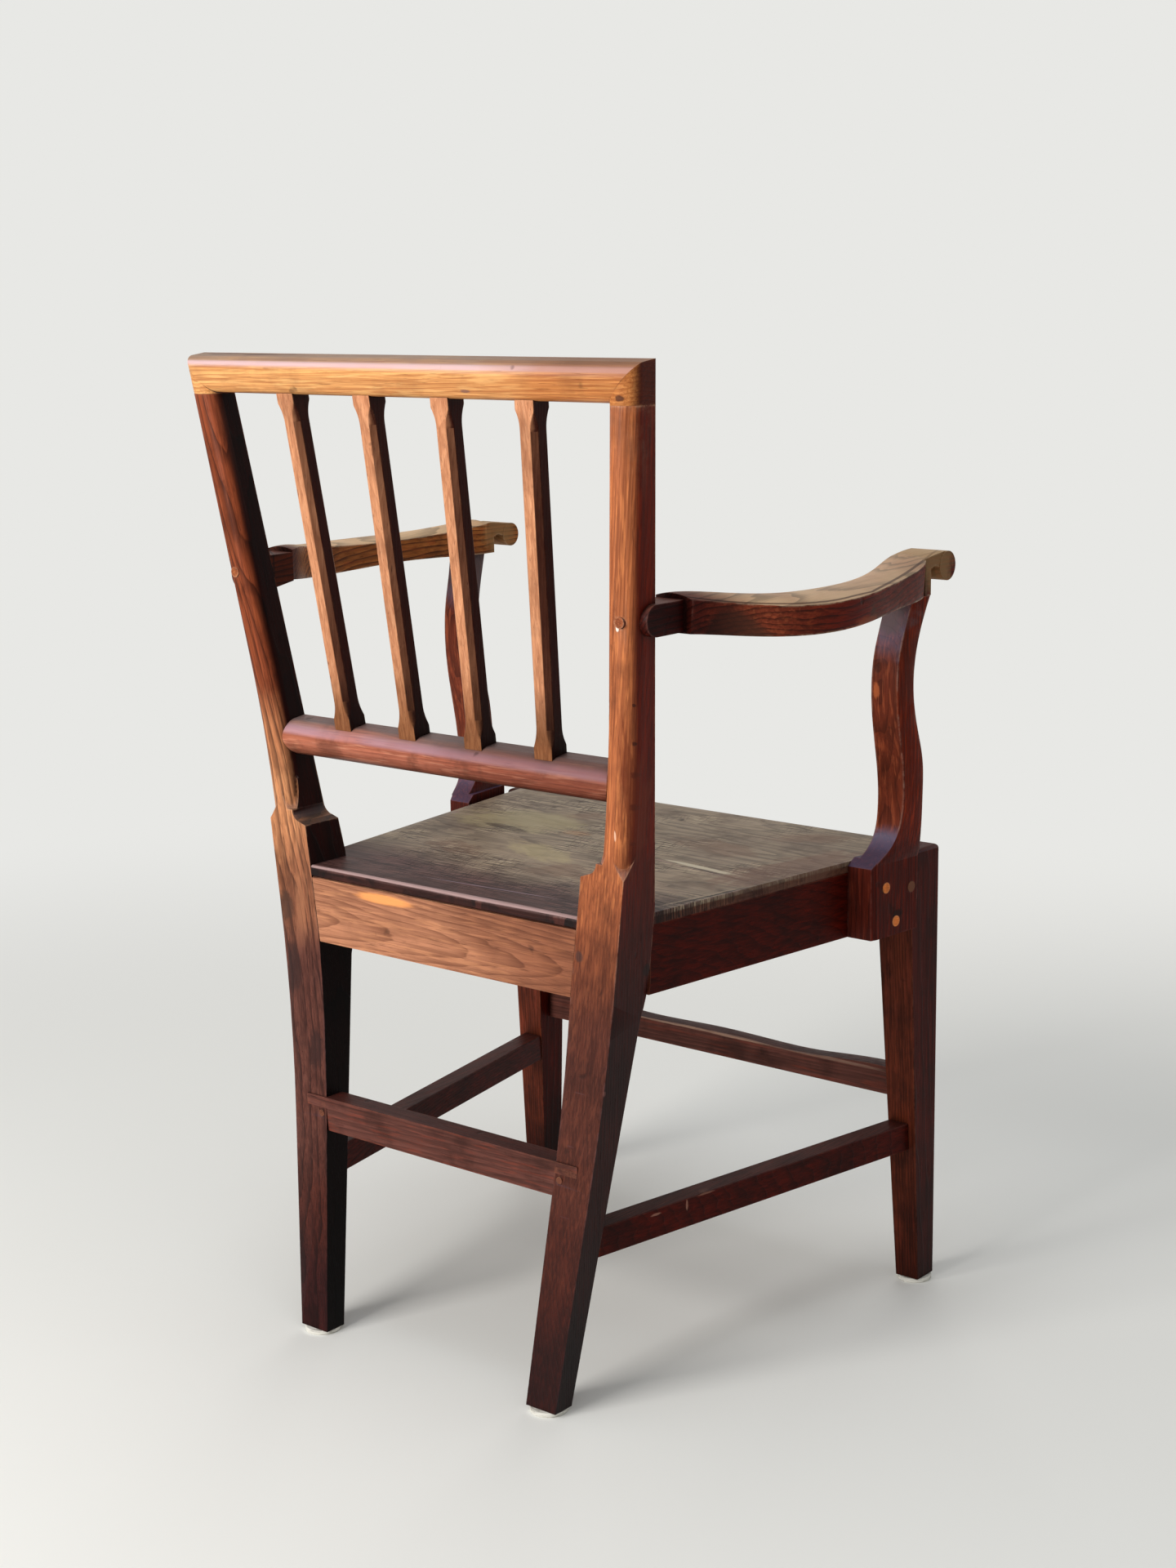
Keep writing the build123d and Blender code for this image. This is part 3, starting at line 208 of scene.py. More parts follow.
# Painted shade in corners and where parts meet, found by ambient occlusion, with dirt there as well.
near = put(use_and_light, "ShaderNodeAmbientOcclusion", {"samples": 6, "only_local": False}, Distance=CORNER_SHADE_REACH)
occluded = ramp(use_and_light, near.outputs["AO"], 0.85, 0.35)
corner = sum_of(use_and_light, "MULTIPLY", corner, sum_of(use_and_light, "SUBTRACT", 1.0, occluded))
colour = blend(use_and_light, sum_of(use_and_light, "MULTIPLY", corner, told["Arris Amount"]), colour, told["Arris"])
colour = blend(use_and_light, sum_of(use_and_light, "MULTIPLY", occluded, told["Corner Shade And Dirt"]), colour, CORNER_SHADE_AND_GRIME)
dents = ramp(use_and_light, cloud(use_and_light, stretched(use_and_light, told["Vector"], 45.0, 45.0, 45.0), detail=2.0), 0.70, 0.76)
colour = blend(use_and_light, sum_of(use_and_light, "MULTIPLY", dents, 0.45), colour, DENT)
wire(use_and_light, colour, shown.inputs["Color"])
wire(use_and_light, sum_of(use_and_light, "MULTIPLY_ADD", blotch, 0.5, sum_of(use_and_light, "MULTIPLY", film, 0.3)), shown.inputs["Rub"])
wire(use_and_light, sum_of(use_and_light, "SUBTRACT", 0.0, dents), shown.inputs["Knocks"])

# Turns that lay a piece's length along the grain's X.
ALONG = {"X": (0.0, 0.0, 0.0), "Y": (0.0, 0.0, -math.pi / 2), "Z": (0.0, math.pi / 2, 0.0)}


RELIEF = 0.5
RELIEF_DEPTH = 0.0006


def timber(name, along, heart, figure, use, matt=0.42, lean=(0.0, 0.0, 0.0), shine=0.14, through=0.0):
    """A waxed wood. heart is where the rings' centre lies, lean tips the grain onto a raked piece,
    and through is how much of the figure shows through dust and the painted sheen."""
    wood = bpy.data.materials.new(name)
    wood.use_nodes = True
    tree = wood.node_tree
    tree.nodes.clear()
    place = put(tree, "ShaderNodeTexCoord").outputs["Object"]
    centred = put(tree, "ShaderNodeVectorMath", {"operation": "SUBTRACT"})
    wire(tree, place, centred.inputs[0])
    centred.inputs[1].default_value = heart
    turn = [laid_along + tipped for laid_along, tipped in zip(ALONG[along], lean)]
    laid = put(tree, "ShaderNodeMapping", Vector=centred.outputs[0], Rotation=turn)
    sawn = put(tree, "ShaderNodeGroup", {"node_tree": grain, "name": "figure"}, Vector=laid.outputs[0])
    for label, value in figure.items():
        wire(tree, value, sawn.inputs[label])
    # The use group lays wear, stain and dust, and painted light too: painted shade on sides turned from the
    # lamp and in corners, and a painted sheen on slopes.
    worn = put(tree, "ShaderNodeGroup", {"node_tree": use_and_light, "name": "use"}, Vector=place,
               Color=sawn.outputs["Color"])
    for label, value in use.items():
        wire(tree, value, worn.inputs[label])
    gloss = sum_of(tree, "MULTIPLY_ADD", worn.outputs["Rub"], 0.22, sawn.outputs["Gloss"])
    height = sum_of(tree, "ADD", sawn.outputs["Height"], worn.outputs["Knocks"])
    bump = put(tree, "ShaderNodeBump", {"name": "relief"}, Strength=RELIEF, Distance=RELIEF_DEPTH,
               Height=height)
    lines = ramp(tree, sawn.outputs["Height"], 0.22, 0.55, 0.0, through)
    seen = blend(tree, lines, worn.outputs["Color"], figure.get("Pore", tone(40, 20, 12)))
    wax = put(tree, "ShaderNodeBsdfPrincipled", Base_Color=seen,
              Roughness=sum_of(tree, "ADD", gloss, matt - 0.1), Normal=bump.outputs[0])
    wax.inputs["Specular IOR Level"].default_value = shine
    put(tree, "ShaderNodeOutputMaterial", Surface=wax.outputs[0])
    return wood


def finished_colour(wood):
    """The material's shader, and the colour that feeds it now."""
    wax = next(n for n in wood.node_tree.nodes if n.type == "BSDF_PRINCIPLED")
    return wax, wax.inputs["Base Color"].links[0].from_socket


def deepen(wood, axis, low, high, tint, amount=1.0):
    """Darkens a wood from one level to another along an axis, with a ragged edge."""
    tree = wood.node_tree
    wax, colour = finished_colour(wood)
    place = put(tree, "ShaderNodeTexCoord").outputs["Object"]
    level = put(tree, "ShaderNodeSeparateXYZ", Vector=place).outputs[axis]
    wander = sum_of(tree, "SUBTRACT", cloud(tree, place, 14.0, 3.0), 0.5)
    ragged = sum_of(tree, "MULTIPLY", wander, high - low)
    mask = ramp(tree, sum_of(tree, "ADD", level, ragged), low, high, 0.0, amount)
    wire(tree, blend(tree, mask, colour, tint, "MULTIPLY"), wax.inputs["Base Color"])


def blemish(wood, place, size, tint, amount=0.8, ragged=0.5, turn=0.0):
    """A knot, stain or fleck round one place. size is its half extents, turned about Z."""
    tree = wood.node_tree
    wax, colour = finished_colour(wood)
    here = put(tree, "ShaderNodeTexCoord").outputs["Object"]
    off = put(tree, "ShaderNodeVectorMath", {"operation": "SUBTRACT"})
    wire(tree, here, off.inputs[0])
    off.inputs[1].default_value = place
    turned = put(tree, "ShaderNodeVectorRotate", {"rotation_type": "Z_AXIS"}, Vector=off.outputs[0],
                 Angle=-turn)
    scaled = stretched(tree, turned.outputs[0], *(1.0 / half for half in size))
    span = put(tree, "ShaderNodeVectorMath", {"operation": "LENGTH"})
    wire(tree, scaled, span.inputs[0])
    rough = sum_of(tree, "SUBTRACT", cloud(tree, scaled, 2.2, 4.0, 0.65), 0.5)
    rough = sum_of(tree, "MULTIPLY", rough, ragged)
    mask = ramp(tree, sum_of(tree, "ADD", span.outputs["Value"], rough), 1.0, 0.55, 0.0, amount)
    wire(tree, blend(tree, mask, colour, tint), wax.inputs["Base Color"])


def scratch(wood, start, end, width, tint, amount=0.8, ragged=0.9):
    """A long thin mark from one point to another on a level face."""
    middle = [(first + last) / 2 for first, last in zip(start, end)]
    run = (end[0] - start[0], end[1] - start[1])
    half = math.hypot(*run) / 2
    blemish(wood, middle, (half, width / 2, 0.01), tint, amount, ragged, math.atan2(run[1], run[0]))


SAME_POINT = 0.00001
SHARP_ANGLE = math.radians(35)


def dress(wood, *names, ease=0.0009):
    """Gives pieces their wood, and takes the sharpness off their arrises as a plane or a thumb does."""
    for name in names:
        piece = chair[name]
        piece.data.materials.clear()
        piece.data.materials.append(wood)
        weld = piece.modifiers.new("one_skin", "WELD")
        weld.merge_threshold = SAME_POINT
        round_off = piece.modifiers.new("eased_arris", "BEVEL")
        round_off.width = ease
        round_off.segments = 2
        round_off.limit_method = "ANGLE"
        round_off.angle_limit = SHARP_ANGLE
        round_off.harden_normals = True


post_figure = {"Pale": tone(190, 110, 66), "Dark": tone(90, 38, 20), "Pore": tone(56, 22, 12),
               "Ring Width": 0.0026, "Sweep": 0.012, "Wobble": 0.008, "Figure": 0.5, "Streak": 0.55,
               "Flame": tone(226, 138, 82), "Fleck": 0.5}
post_use = {"Unfaded And Shaded Tint": tone(146, 68, 32), "Fade And Shade From": -0.1, "Fade And Shade To": 0.55, "Stain Amount": 0.35,
            "Arris": tone(206, 158, 126), "Arris Amount": 0.55, "Dust Amount": 0.25,
            "Sheen": tone(150, 130, 130), "Sheen Amount": 0.3}
splay = 0.144
rake = 0.10
right_post_wood = timber("right_post_wood", "Z", (-0.225, 0.06, 0.0), post_figure, post_use,
                         lean=(0.0, splay, -rake))
left_post_wood = timber("left_post_wood", "Z", (0.215, 0.15, 0.0),
                        {**post_figure, "Pale": tone(216, 146, 100), "Dark": tone(92, 60, 44),
                         "Flame": tone(240, 172, 120), "Ring Width": 0.010, "Sweep": 0.06, "Wobble": 0.06,
                         "Figure": 1.0, "Fleck": 0.35}, {**post_use, "Unfaded And Shaded Tint": tone(56, 14, 10)},
                        lean=(0.0, -splay, -rake), shine=0.08)
POST_BACK = 0.192
KNOT = tone(52, 22, 14)
for height, half in ((0.5615, 0.0036), (0.534, 0.0040), (0.503, 0.0024), (0.588, 0.0022),
                     (0.620, 0.0018)):
    leaning_x = -0.209 - 0.1 * (height - 0.5)
    blemish(right_post_wood, (leaning_x, POST_BACK, height), (0.6 * half, 0.02, half), KNOT, 0.8, 1.2)
blemish(right_post_wood, (-0.213, 0.19, 0.53), (0.008, 0.03, 0.085), tone(104, 40, 20), 0.55, 2.0)
blemish(right_post_wood, (-0.197, 0.151, 0.3875), (0.01, 0.006, 0.007), KNOT, 0.9, 0.7)
blemish(right_post_wood, (-0.1584, POST_BACK, 0.402), (0.005, 0.01, 0.006), tone(96, 74, 66), 0.7, 0.5)
blemish(right_post_wood, (-0.2164, 0.2085, 0.683), (0.0018, 0.01, 0.0032), tone(240, 228, 216), 1.0, 0.3)
blemish(right_post_wood, (-0.1986, 0.1924, 0.510), (0.0011, 0.01, 0.0055), tone(236, 190, 160), 0.9, 0.4)
blemish(right_post_wood, (-0.1858, 0.1949, 0.2886), (0.0015, 0.002, 0.003), tone(214, 150, 110), 0.9, 0.3)
for place, length in (((-0.1518, 0.1999, 0.2368), 0.010), ((-0.1480, 0.2030, 0.2175), 0.007),
                      ((-0.1500, 0.2071, 0.1751), 0.014), ((-0.1601, 0.1959, 0.2843), 0.015)):
    blemish(right_post_wood, place, (length / 2, 0.01, 0.0006), tone(186, 132, 108), 0.7, 0.9)
for place, half in (((0.182, 0.193, 0.334), 0.030), ((0.190, POST_BACK, 0.392), 0.018),
                    ((0.153, 0.196, 0.262), 0.024)):
    blemish(left_post_wood, place, (0.011, 0.02, half), tone(112, 84, 64), 0.75, 1.1)
blemish(left_post_wood, (0.172, 0.193, 0.385), (0.008, 0.02, 0.05), tone(236, 168, 116), 0.6, 1.2)
deepen(left_post_wood, "Z", 0.50, 0.60, tone(176, 132, 120))
# Painted shade: both posts are darkened from the seat downwards and again near the floor, with a cool tint.
for wood in (right_post_wood, left_post_wood):
    deepen(wood, "Z", 0.50, 0.40, tone(188, 178, 186))
    deepen(wood, "Z", 0.43, 0.33, tone(164, 155, 183))
    deepen(wood, "Z", 0.22, 0.10, tone(207, 172, 162))
    deepen(wood, "Z", 0.13, 0.04, tone(185, 170, 204))
dress(right_post_wood, "post_right")
dress(left_post_wood, "post_left")

# ---------------------------------------------------------------- crest rail
# The crest is one D-shaped bar, mitred to its two corners so that its moulding turns down into
# the posts. It is the most handled and the most faded piece, golden along the back, with a painted
# pink sheen on its shoulder and grey wax on top.
crest_wood = timber("crest_wood", "X", (-0.15, 0.215, 0.80),
                    {"Pale": tone(240, 178, 112), "Dark": tone(160, 88, 42), "Pore": tone(90, 46, 22),
                     "Ring Width": 0.0035, "Sweep": 0.03, "Wobble": 0.007, "Figure": 0.65, "Streak": 0.6,
                     "Flame": tone(252, 202, 134), "Fleck": 0.35},
                    {"Unfaded And Shaded Tint": tone(110, 64, 58), "Fade And Shade From": -0.2, "Fade And Shade To": 0.5,
                     "Stain Amount": 0.2, "Dust": tone(132, 114, 104), "Dust Amount": 0.85,
                     "Sheen": tone(216, 182, 184), "Sheen Amount": 0.95, "Arris Amount": 0.4})
deepen(crest_wood, "X", -0.04, -0.24, tone(222, 196, 176))
blemish(crest_wood, (-0.2383, 0.23, 0.8637), (0.005, 0.01, 0.003), tone(70, 34, 24), 0.85, 0.7)
blemish(crest_wood, (-0.08, 0.232, 0.866), (0.007, 0.01, 0.002), tone(120, 84, 76), 0.8, 0.7)
blemish(crest_wood, (0.18, 0.21, 0.885), (0.08, 0.008, 0.012), tone(84, 58, 52), 0.8, 2.0)
blemish(crest_wood, (0.02, 0.205, 0.885), (0.05, 0.004, 0.01), tone(96, 72, 64), 0.5, 1.6)
dress(crest_wood, "crest_rail")

# ---------------------------------------------------------------- lower back rail and bars
# The lower rail is a second D-shaped bar between the posts. Four square bars with stopped
# chamfers stand on it and are tenoned into the crest.
rail_wood = timber("lower_rail_wood", "X", (0.0, 0.12, 0.50),
                   {**post_figure, "Pale": tone(186, 110, 84), "Dark": tone(112, 56, 42), "Ring Width": 0.003,
                    "Flame": tone(214, 150, 122), "Fleck": 0.5},
                   {"Unfaded And Shaded Tint": tone(96, 44, 38), "Fade And Shade From": -0.1, "Fade And Shade To": 0.8, "Stain Amount": 0.45,
                    "Stain Size": 0.03,
                    "Dust": tone(116, 112, 112), "Dust Amount": 0.75, "Arris Amount": 0.3,
                    "Sheen": tone(178, 140, 152), "Sheen Amount": 0.8})
deepen(rail_wood, "X", 0.10, -0.06, tone(206, 190, 186))
# A painted lavender sheen on the rail near the chair's right post.
blemish(rail_wood, (-0.172, 0.21, 0.578), (0.018, 0.03, 0.01), tone(140, 140, 180), 0.6, 0.8)
dress(rail_wood, "lower_back_rail")
BAR_SPACING = 0.13
for number in (1, 2, 3, 4):
    bar_heart = (BAR_SPACING * (number - 2.5), 0.12 + 0.01 * number, 0.0)
    # The bars' sides turned from the lamp are painted near black as painted shade.
    bar_wood = timber(f"bar_wood_{number}", "Z", bar_heart,
                      {**post_figure, "Pale": tone(214, 150, 110), "Dark": tone(150, 92, 62), "Fleck": 0.35,
                       "Flame": tone(232, 172, 132), "Ring Width": 0.0026 + 0.0004 * number},
                      {"Unfaded And Shaded Tint": tone(64, 26, 20), "Fade And Shade From": 0.3, "Fade And Shade To": 0.75,
                       "Stain Amount": 0.25, "Arris Amount": 0.4}, shine=0.1)
    deepen(bar_wood, "Z", 0.64, 0.57, tone(170, 158, 140))
    dress(bar_wood, f"back_bar_{number}", ease=0.0006)

# ---------------------------------------------------------------- seat frame
# Four rails, tenoned into the posts and legs, flush outside. The back rail has faded to a warm
# brown with bold figure; the side and front rails kept their dark red stain.
back_rail_wood = timber("back_seat_rail_wood", "X", (0.03, 0.155, 0.388),
                        {"Pale": tone(188, 128, 96), "Dark": tone(112, 66, 46), "Pore": tone(70, 36, 24),
                         "Ring Width": 0.0030, "Sweep": -0.04, "Wobble": 0.010, "Figure": 0.85, "Streak": 0.5,
                         "Flame": tone(216, 150, 108), "Fleck": 0.4},
                        {"Unfaded And Shaded Tint": tone(110, 80, 74), "Fade And Shade From": 0.2, "Fade And Shade To": 0.7,
                         "Stain Amount": 0.15, "Arris Amount": 0.3})
blemish(back_rail_wood, (0.066, POST_BACK, 0.4165), (0.042, 0.02, 0.0055), tone(242, 160, 94), 0.9, 0.45)
deepen(back_rail_wood, "X", 0.04, -0.14, tone(198, 182, 176))
dress(back_rail_wood, "back_seat_rail")
dark_figure = {"Pale": tone(106, 46, 27), "Dark": tone(40, 15, 9), "Pore": tone(22, 8, 6),
               "Ring Width": 0.003, "Sweep": 0.02, "Wobble": 0.012, "Figure": 0.65, "Streak": 0.6,
               "Flame": tone(140, 62, 44), "Fleck": 0.3}
dark_use = {"Unfaded And Shaded Tint": tone(186, 100, 62), "Fade And Shade From": -0.2, "Fade And Shade To": 0.8, "Stain": tone(26, 10, 8),
            "Stain Amount": 0.45, "Dust": tone(70, 52, 50), "Dust Amount": 0.35, "Arris": tone(140, 84, 64),
            "Arris Amount": 0.4, "Sheen": tone(90, 76, 84), "Sheen Amount": 0.3}
side_rail_wood = timber("side_seat_rail_wood", "Y", (0.0, 0.0, 0.34), dark_figure, dark_use, shine=0.07)
dress(side_rail_wood, "side_seat_rail_left", "side_seat_rail_right")
front_rail_wood = timber("front_seat_rail_wood", "X", (0.0, -0.26, 0.35), dark_figure, dark_use, shine=0.07)
dress(front_rail_wood, "front_seat_rail")

# ---------------------------------------------------------------- seat boards
# Two wide boards, glued edge to edge and let in round the posts and the front legs. Bare use has
# greyed the middle to olive and scratched it along and across, and the boards are darker towards the back.
def scored(wood, turn, width, tint, amount, start):
    """Fine broken scratches that all run one way, turned about Z from the X axis."""
    tree = wood.node_tree
    wax, colour = finished_colour(wood)
    here = put(tree, "ShaderNodeTexCoord").outputs["Object"]
    turned = put(tree, "ShaderNodeVectorRotate", {"rotation_type": "Z_AXIS"}, Vector=here, Angle=turn)
    marks = cloud(tree, stretched(tree, turned.outputs[0], 0.05 / width, 0.8 / width, 40.0), 1.0, 2.0, 0.4)
    worn = ramp(tree, cloud(tree, here, 11.0, 2.0), 0.40, 0.62)
    mask = sum_of(tree, "MULTIPLY", ramp(tree, marks, start, start + 0.05), worn)
    wire(tree, blend(tree, sum_of(tree, "MULTIPLY", mask, amount), colour, tint), wax.inputs["Base Color"])


SEAT_TOP = 0.435
seat_figure = {"Pale": tone(150, 130, 110), "Dark": tone(74, 56, 47), "Pore": tone(40, 28, 22),
               "Ring Width": 0.022, "Sweep": 0.06, "Wobble": 0.16, "Figure": 0.45, "Streak": 0.45,
               "Flame": tone(172, 152, 124), "Fleck": 0.35}
seat_use = {"Unfaded And Shaded Tint": tone(200, 180, 175), "Fade And Shade From": -0.6, "Fade And Shade To": 0.2, "Stain": tone(70, 46, 40),
            "Stain Amount": 0.7, "Stain Size": 0.06, "Dust": tone(152, 142, 120), "Dust Amount": 0.2,
            "Arris": tone(172, 142, 136), "Arris Amount": 0.7, "Arris Width": 0.004}
rear_board_wood = timber("rear_board_wood", "X", (0.0, 0.02, 0.37), seat_figure, seat_use, matt=0.45,
                         through=0.3)
front_board_wood = timber("front_board_wood", "X", (0.0, -0.20, 0.365), seat_figure, seat_use, matt=0.45,
                          through=0.3)
for wood in (rear_board_wood, front_board_wood):
    blemish(wood, (0.12, -0.06, SEAT_TOP), (0.085, 0.05, 0.03), tone(164, 150, 112), 0.6, 1.3)
    blemish(wood, (0.02, 0.03, SEAT_TOP), (0.06, 0.022, 0.03), tone(172, 156, 116), 0.55, 1.5, -0.4)
    blemish(wood, (0.115, -0.03, SEAT_TOP), (0.04, 0.008, 0.03), tone(58, 38, 32), 0.7, 1.4, -0.2)
    blemish(wood, (0.043, -0.05, SEAT_TOP), (0.02, 0.010, 0.03), tone(150, 104, 66), 0.6, 1.2)
    for middle, half, turn in (((0.07, -0.12), 0.05, 0.3), ((-0.10, -0.08), 0.06, -0.2),
                               ((-0.06, 0.07), 0.07, 0.1), ((0.10, 0.06), 0.05, -0.3),
                               ((-0.15, -0.16), 0.05, 0.5)):
        blemish(wood, (*middle, SEAT_TOP), (half, 0.4 * half, 0.03), tone(116, 88, 70), 0.55, 1.8, turn)
    scored(wood, 0.08, 0.0012, tone(50, 34, 28), 0.9, 0.54)
    scored(wood, -0.10, 0.0012, tone(196, 178, 150), 0.75, 0.56)
    scored(wood, 1.25, 0.0009, tone(66, 48, 40), 0.6, 0.58)
    deepen(wood, "Y", 0.06, 0.15, tone(150, 118, 132))
    scratch(wood, (-0.080, -0.016, SEAT_TOP), (-0.200, 0.000, SEAT_TOP), 0.009,
            tone(196, 184, 160), 0.9, 1.3)
    scratch(wood, (-0.110, -0.006, SEAT_TOP), (-0.225, 0.012, SEAT_TOP), 0.003, tone(60, 44, 36), 0.7, 1.2)
    deepen(wood, "Z", 0.4325, 0.4305, tone(170, 126, 114))
    blemish(wood, (-0.20, -0.05, SEAT_TOP), (0.035, 0.10, 0.03), tone(108, 74, 60), 0.6, 1.8, -0.15)
    blemish(wood, (0.0, 0.190, 0.4345), (0.30, 0.0036, 0.0024), tone(182, 152, 150), 0.9, 1.2)
blemish(front_board_wood, (-0.0039, -0.1532, SEAT_TOP), (0.0035, 0.0035, 0.01), tone(40, 26, 22), 0.95, 0.3)
scratch(rear_board_wood, (0.06, 0.164, SEAT_TOP), (-0.125, 0.152, SEAT_TOP), 0.0022,
        tone(150, 128, 140), 0.7, 0.8)
scratch(rear_board_wood, (-0.190, 0.134, SEAT_TOP), (-0.214, 0.012, SEAT_TOP), 0.0028,
        tone(30, 18, 16), 0.95, 0.5)
scratch(rear_board_wood, (-0.186, 0.134, SEAT_TOP), (-0.208, 0.020, SEAT_TOP), 0.004,
        tone(166, 146, 124), 0.6, 0.8)
dress(rear_board_wood, "seat_board_rear", ease=0.0006)
dress(front_board_wood, "seat_board_front", ease=0.0006)

# ---------------------------------------------------------------- front legs and stretchers
# The front legs taper on their two inner faces. Three light stretchers tie the sides and the
# back, and a fourth between the front legs is hollowed by boots.
leg_wood = timber("front_leg_wood", "Z", (0.0, -0.15, 0.0), dark_figure, dark_use, shine=0.07)
deepen(leg_wood, "Z", 0.14, 0.0, tone(150, 130, 128))
dress(leg_wood, "front_leg_left", "front_leg_right")
stretcher_figure = {**dark_figure, "Pale": tone(104, 62, 54), "Dark": tone(56, 32, 27)}
back_stretcher_wood = timber("back_stretcher_wood", "X", (0.0, 0.15, 0.18), stretcher_figure, dark_use,
                             shine=0.07)
dress(back_stretcher_wood, "back_stretcher")
side_stretcher_wood = timber("side_stretcher_wood", "Y", (0.2, 0.0, 0.11), dark_figure, dark_use, shine=0.07)
SCRATCHED = tone(150, 104, 88)
blemish(side_stretcher_wood, (-0.1812, 0.121, 0.158), (0.01, 0.007, 0.0014), SCRATCHED, 0.8, 0.7)
blemish(side_stretcher_wood, (-0.1878, 0.085, 0.157), (0.01, 0.0016, 0.006), SCRATCHED, 0.8, 0.7)
blemish(side_stretcher_wood, (-0.1885, 0.061, 0.162), (0.01, 0.014, 0.0012), SCRATCHED, 0.6, 0.7)
dress(side_stretcher_wood, "side_stretcher_left", "side_stretcher_right")
front_stretcher_wood = timber("front_stretcher_wood", "X", (0.0, -0.19, 0.16), stretcher_figure, dark_use,
                              shine=0.07)
for middle, half, strength in ((0.055, 0.065, 0.8), (-0.03, 0.05, 0.65), (-0.13, 0.09, 0.35)):
    blemish(front_stretcher_wood, (middle, -0.2095, 0.2045), (half, 0.003, 0.0022), tone(186, 150, 130),
            strength, 1.0)
dress(front_stretcher_wood, "front_stretcher")

# ---------------------------------------------------------------- arms and supports
# Each arm bows outwards from a square neck on the post and ends in a rolled knuckle. Its top is
# worn to a khaki brown by forearms. The support laps the side rail and is pegged to it.
def inner_line(wood):
    """A dark line just inside the arm's outer arris, where the top has worn to a ridge."""
    tree = wood.node_tree
    wax, colour = finished_colour(wood)
    place = put(tree, "ShaderNodeSeparateXYZ", Vector=put(tree, "ShaderNodeTexCoord").outputs["Object"])
    widest_x = 0.3158
    inset = 0.0045
    half = 0.0009
    rear_from = 0.025
    rear_curve = -4.7
    front_from = 0.012
    front_slope = 0.25
    rear = sum_of(tree, "MAXIMUM", sum_of(tree, "SUBTRACT", place.outputs["Y"], rear_from), 0.0)
    front = sum_of(tree, "MINIMUM", sum_of(tree, "ADD", place.outputs["Y"], front_from), 0.0)
    edge = sum_of(tree, "MULTIPLY", sum_of(tree, "MULTIPLY", rear, rear), rear_curve)
    edge = sum_of(tree, "MULTIPLY_ADD", front, front_slope, edge)
    out = sum_of(tree, "SUBTRACT", sum_of(tree, "ABSOLUTE", place.outputs["X"]), edge)
    off = sum_of(tree, "ABSOLUTE", sum_of(tree, "SUBTRACT", out, widest_x - inset))
    wire(tree, blend(tree, ramp(tree, off, 2 * half, half, 0.0, 0.8), colour, tone(66, 40, 30)),
         wax.inputs["Base Color"])


for side, heart, pale, inner in (("right", (-0.28, 0.0, 0.62), tone(150, 70, 46), tone(180, 104, 84)),
                                 ("left", (0.28, 0.0, 0.62), tone(188, 124, 74), tone(240, 216, 180))):
    arm_wood = timber(f"arm_wood_{side}", "Y", heart,
                      {"Pale": pale, "Dark": tone(70, 30, 18), "Pore": tone(30, 14, 10),
                       "Ring Width": 0.0045, "Sweep": 0.05, "Wobble": 0.03, "Figure": 0.8, "Streak": 0.5,
                       "Flame": tone(190, 104, 66), "Fleck": 0.35},
                      {"Unfaded And Shaded Tint": inner, "Fade And Shade From": -0.3, "Fade And Shade To": 0.6,
                       "Dust": tone(230, 198, 158), "Dust Amount": 0.7, "Arris": tone(206, 180, 150),
                       "Arris Amount": 0.65, "Stain Amount": 0.35,
                       "Sheen": tone(150, 126, 112), "Sheen Amount": 0.6}, shine=0.09, through=0.4)
    inner_line(arm_wood)
    deepen(arm_wood, "Y", 0.10, 0.15, tone(130, 96, 104))
    blemish(arm_wood, (1.12 * heart[0], -0.005, 0.668), (0.03, 0.035, 0.009), tone(148, 70, 38), 0.6, 1.4)
    blemish(arm_wood, (0.93 * heart[0], -0.172, 0.70), (0.045, 0.032, 0.045), tone(158, 124, 82), 0.6, 1.0)
    dress(arm_wood, f"arm_{side}")
    # The support's sides turned from the lamp are painted a darker orange-brown as painted shade; its
    # blue-grey sheen on slopes is painted, and its blue-grey dust on upward faces is dust with a painted sky
    # reflection.
    support_wood = timber(f"support_wood_{side}", "Z", (0.9 * heart[0], -0.10, 0.0),
                          {"Pale": tone(120, 52, 32), "Dark": tone(60, 23, 15), "Pore": tone(28, 12, 8),
                           "Ring Width": 0.0045, "Sweep": 0.05, "Wobble": 0.025, "Figure": 0.75,
                           "Streak": 0.5, "Flame": tone(186, 96, 60), "Fleck": 0.35},
                          {"Unfaded And Shaded Tint": tone(245, 160, 60), "Fade And Shade From": -0.3, "Fade And Shade To": 0.8,
                           "Dust": tone(104, 116, 146), "Dust Amount": 0.85, "Arris": tone(170, 128, 112),
                           "Arris Amount": 0.5, "Stain Amount": 0.35,
                           "Sheen": tone(120, 122, 150), "Sheen Amount": 0.7}, shine=0.09)
    middle_x = 0.886 * heart[0]
    blemish(support_wood, (middle_x, -0.118, 0.591), (0.004, 0.03, 0.009), tone(196, 104, 60), 0.65, 1.0)
    blemish(support_wood, (middle_x, -0.14, 0.66), (0.03, 0.05, 0.03), tone(96, 82, 84), 0.85, 0.8)
    blemish(support_wood, (heart[0], -0.139, 0.384), (0.08, 0.010, 0.005), tone(30, 12, 9), 0.8, 0.6)
    deepen(support_wood, "Z", 0.47, 0.44, tone(186, 158, 168))
    dress(support_wood, f"arm_support_{side}")

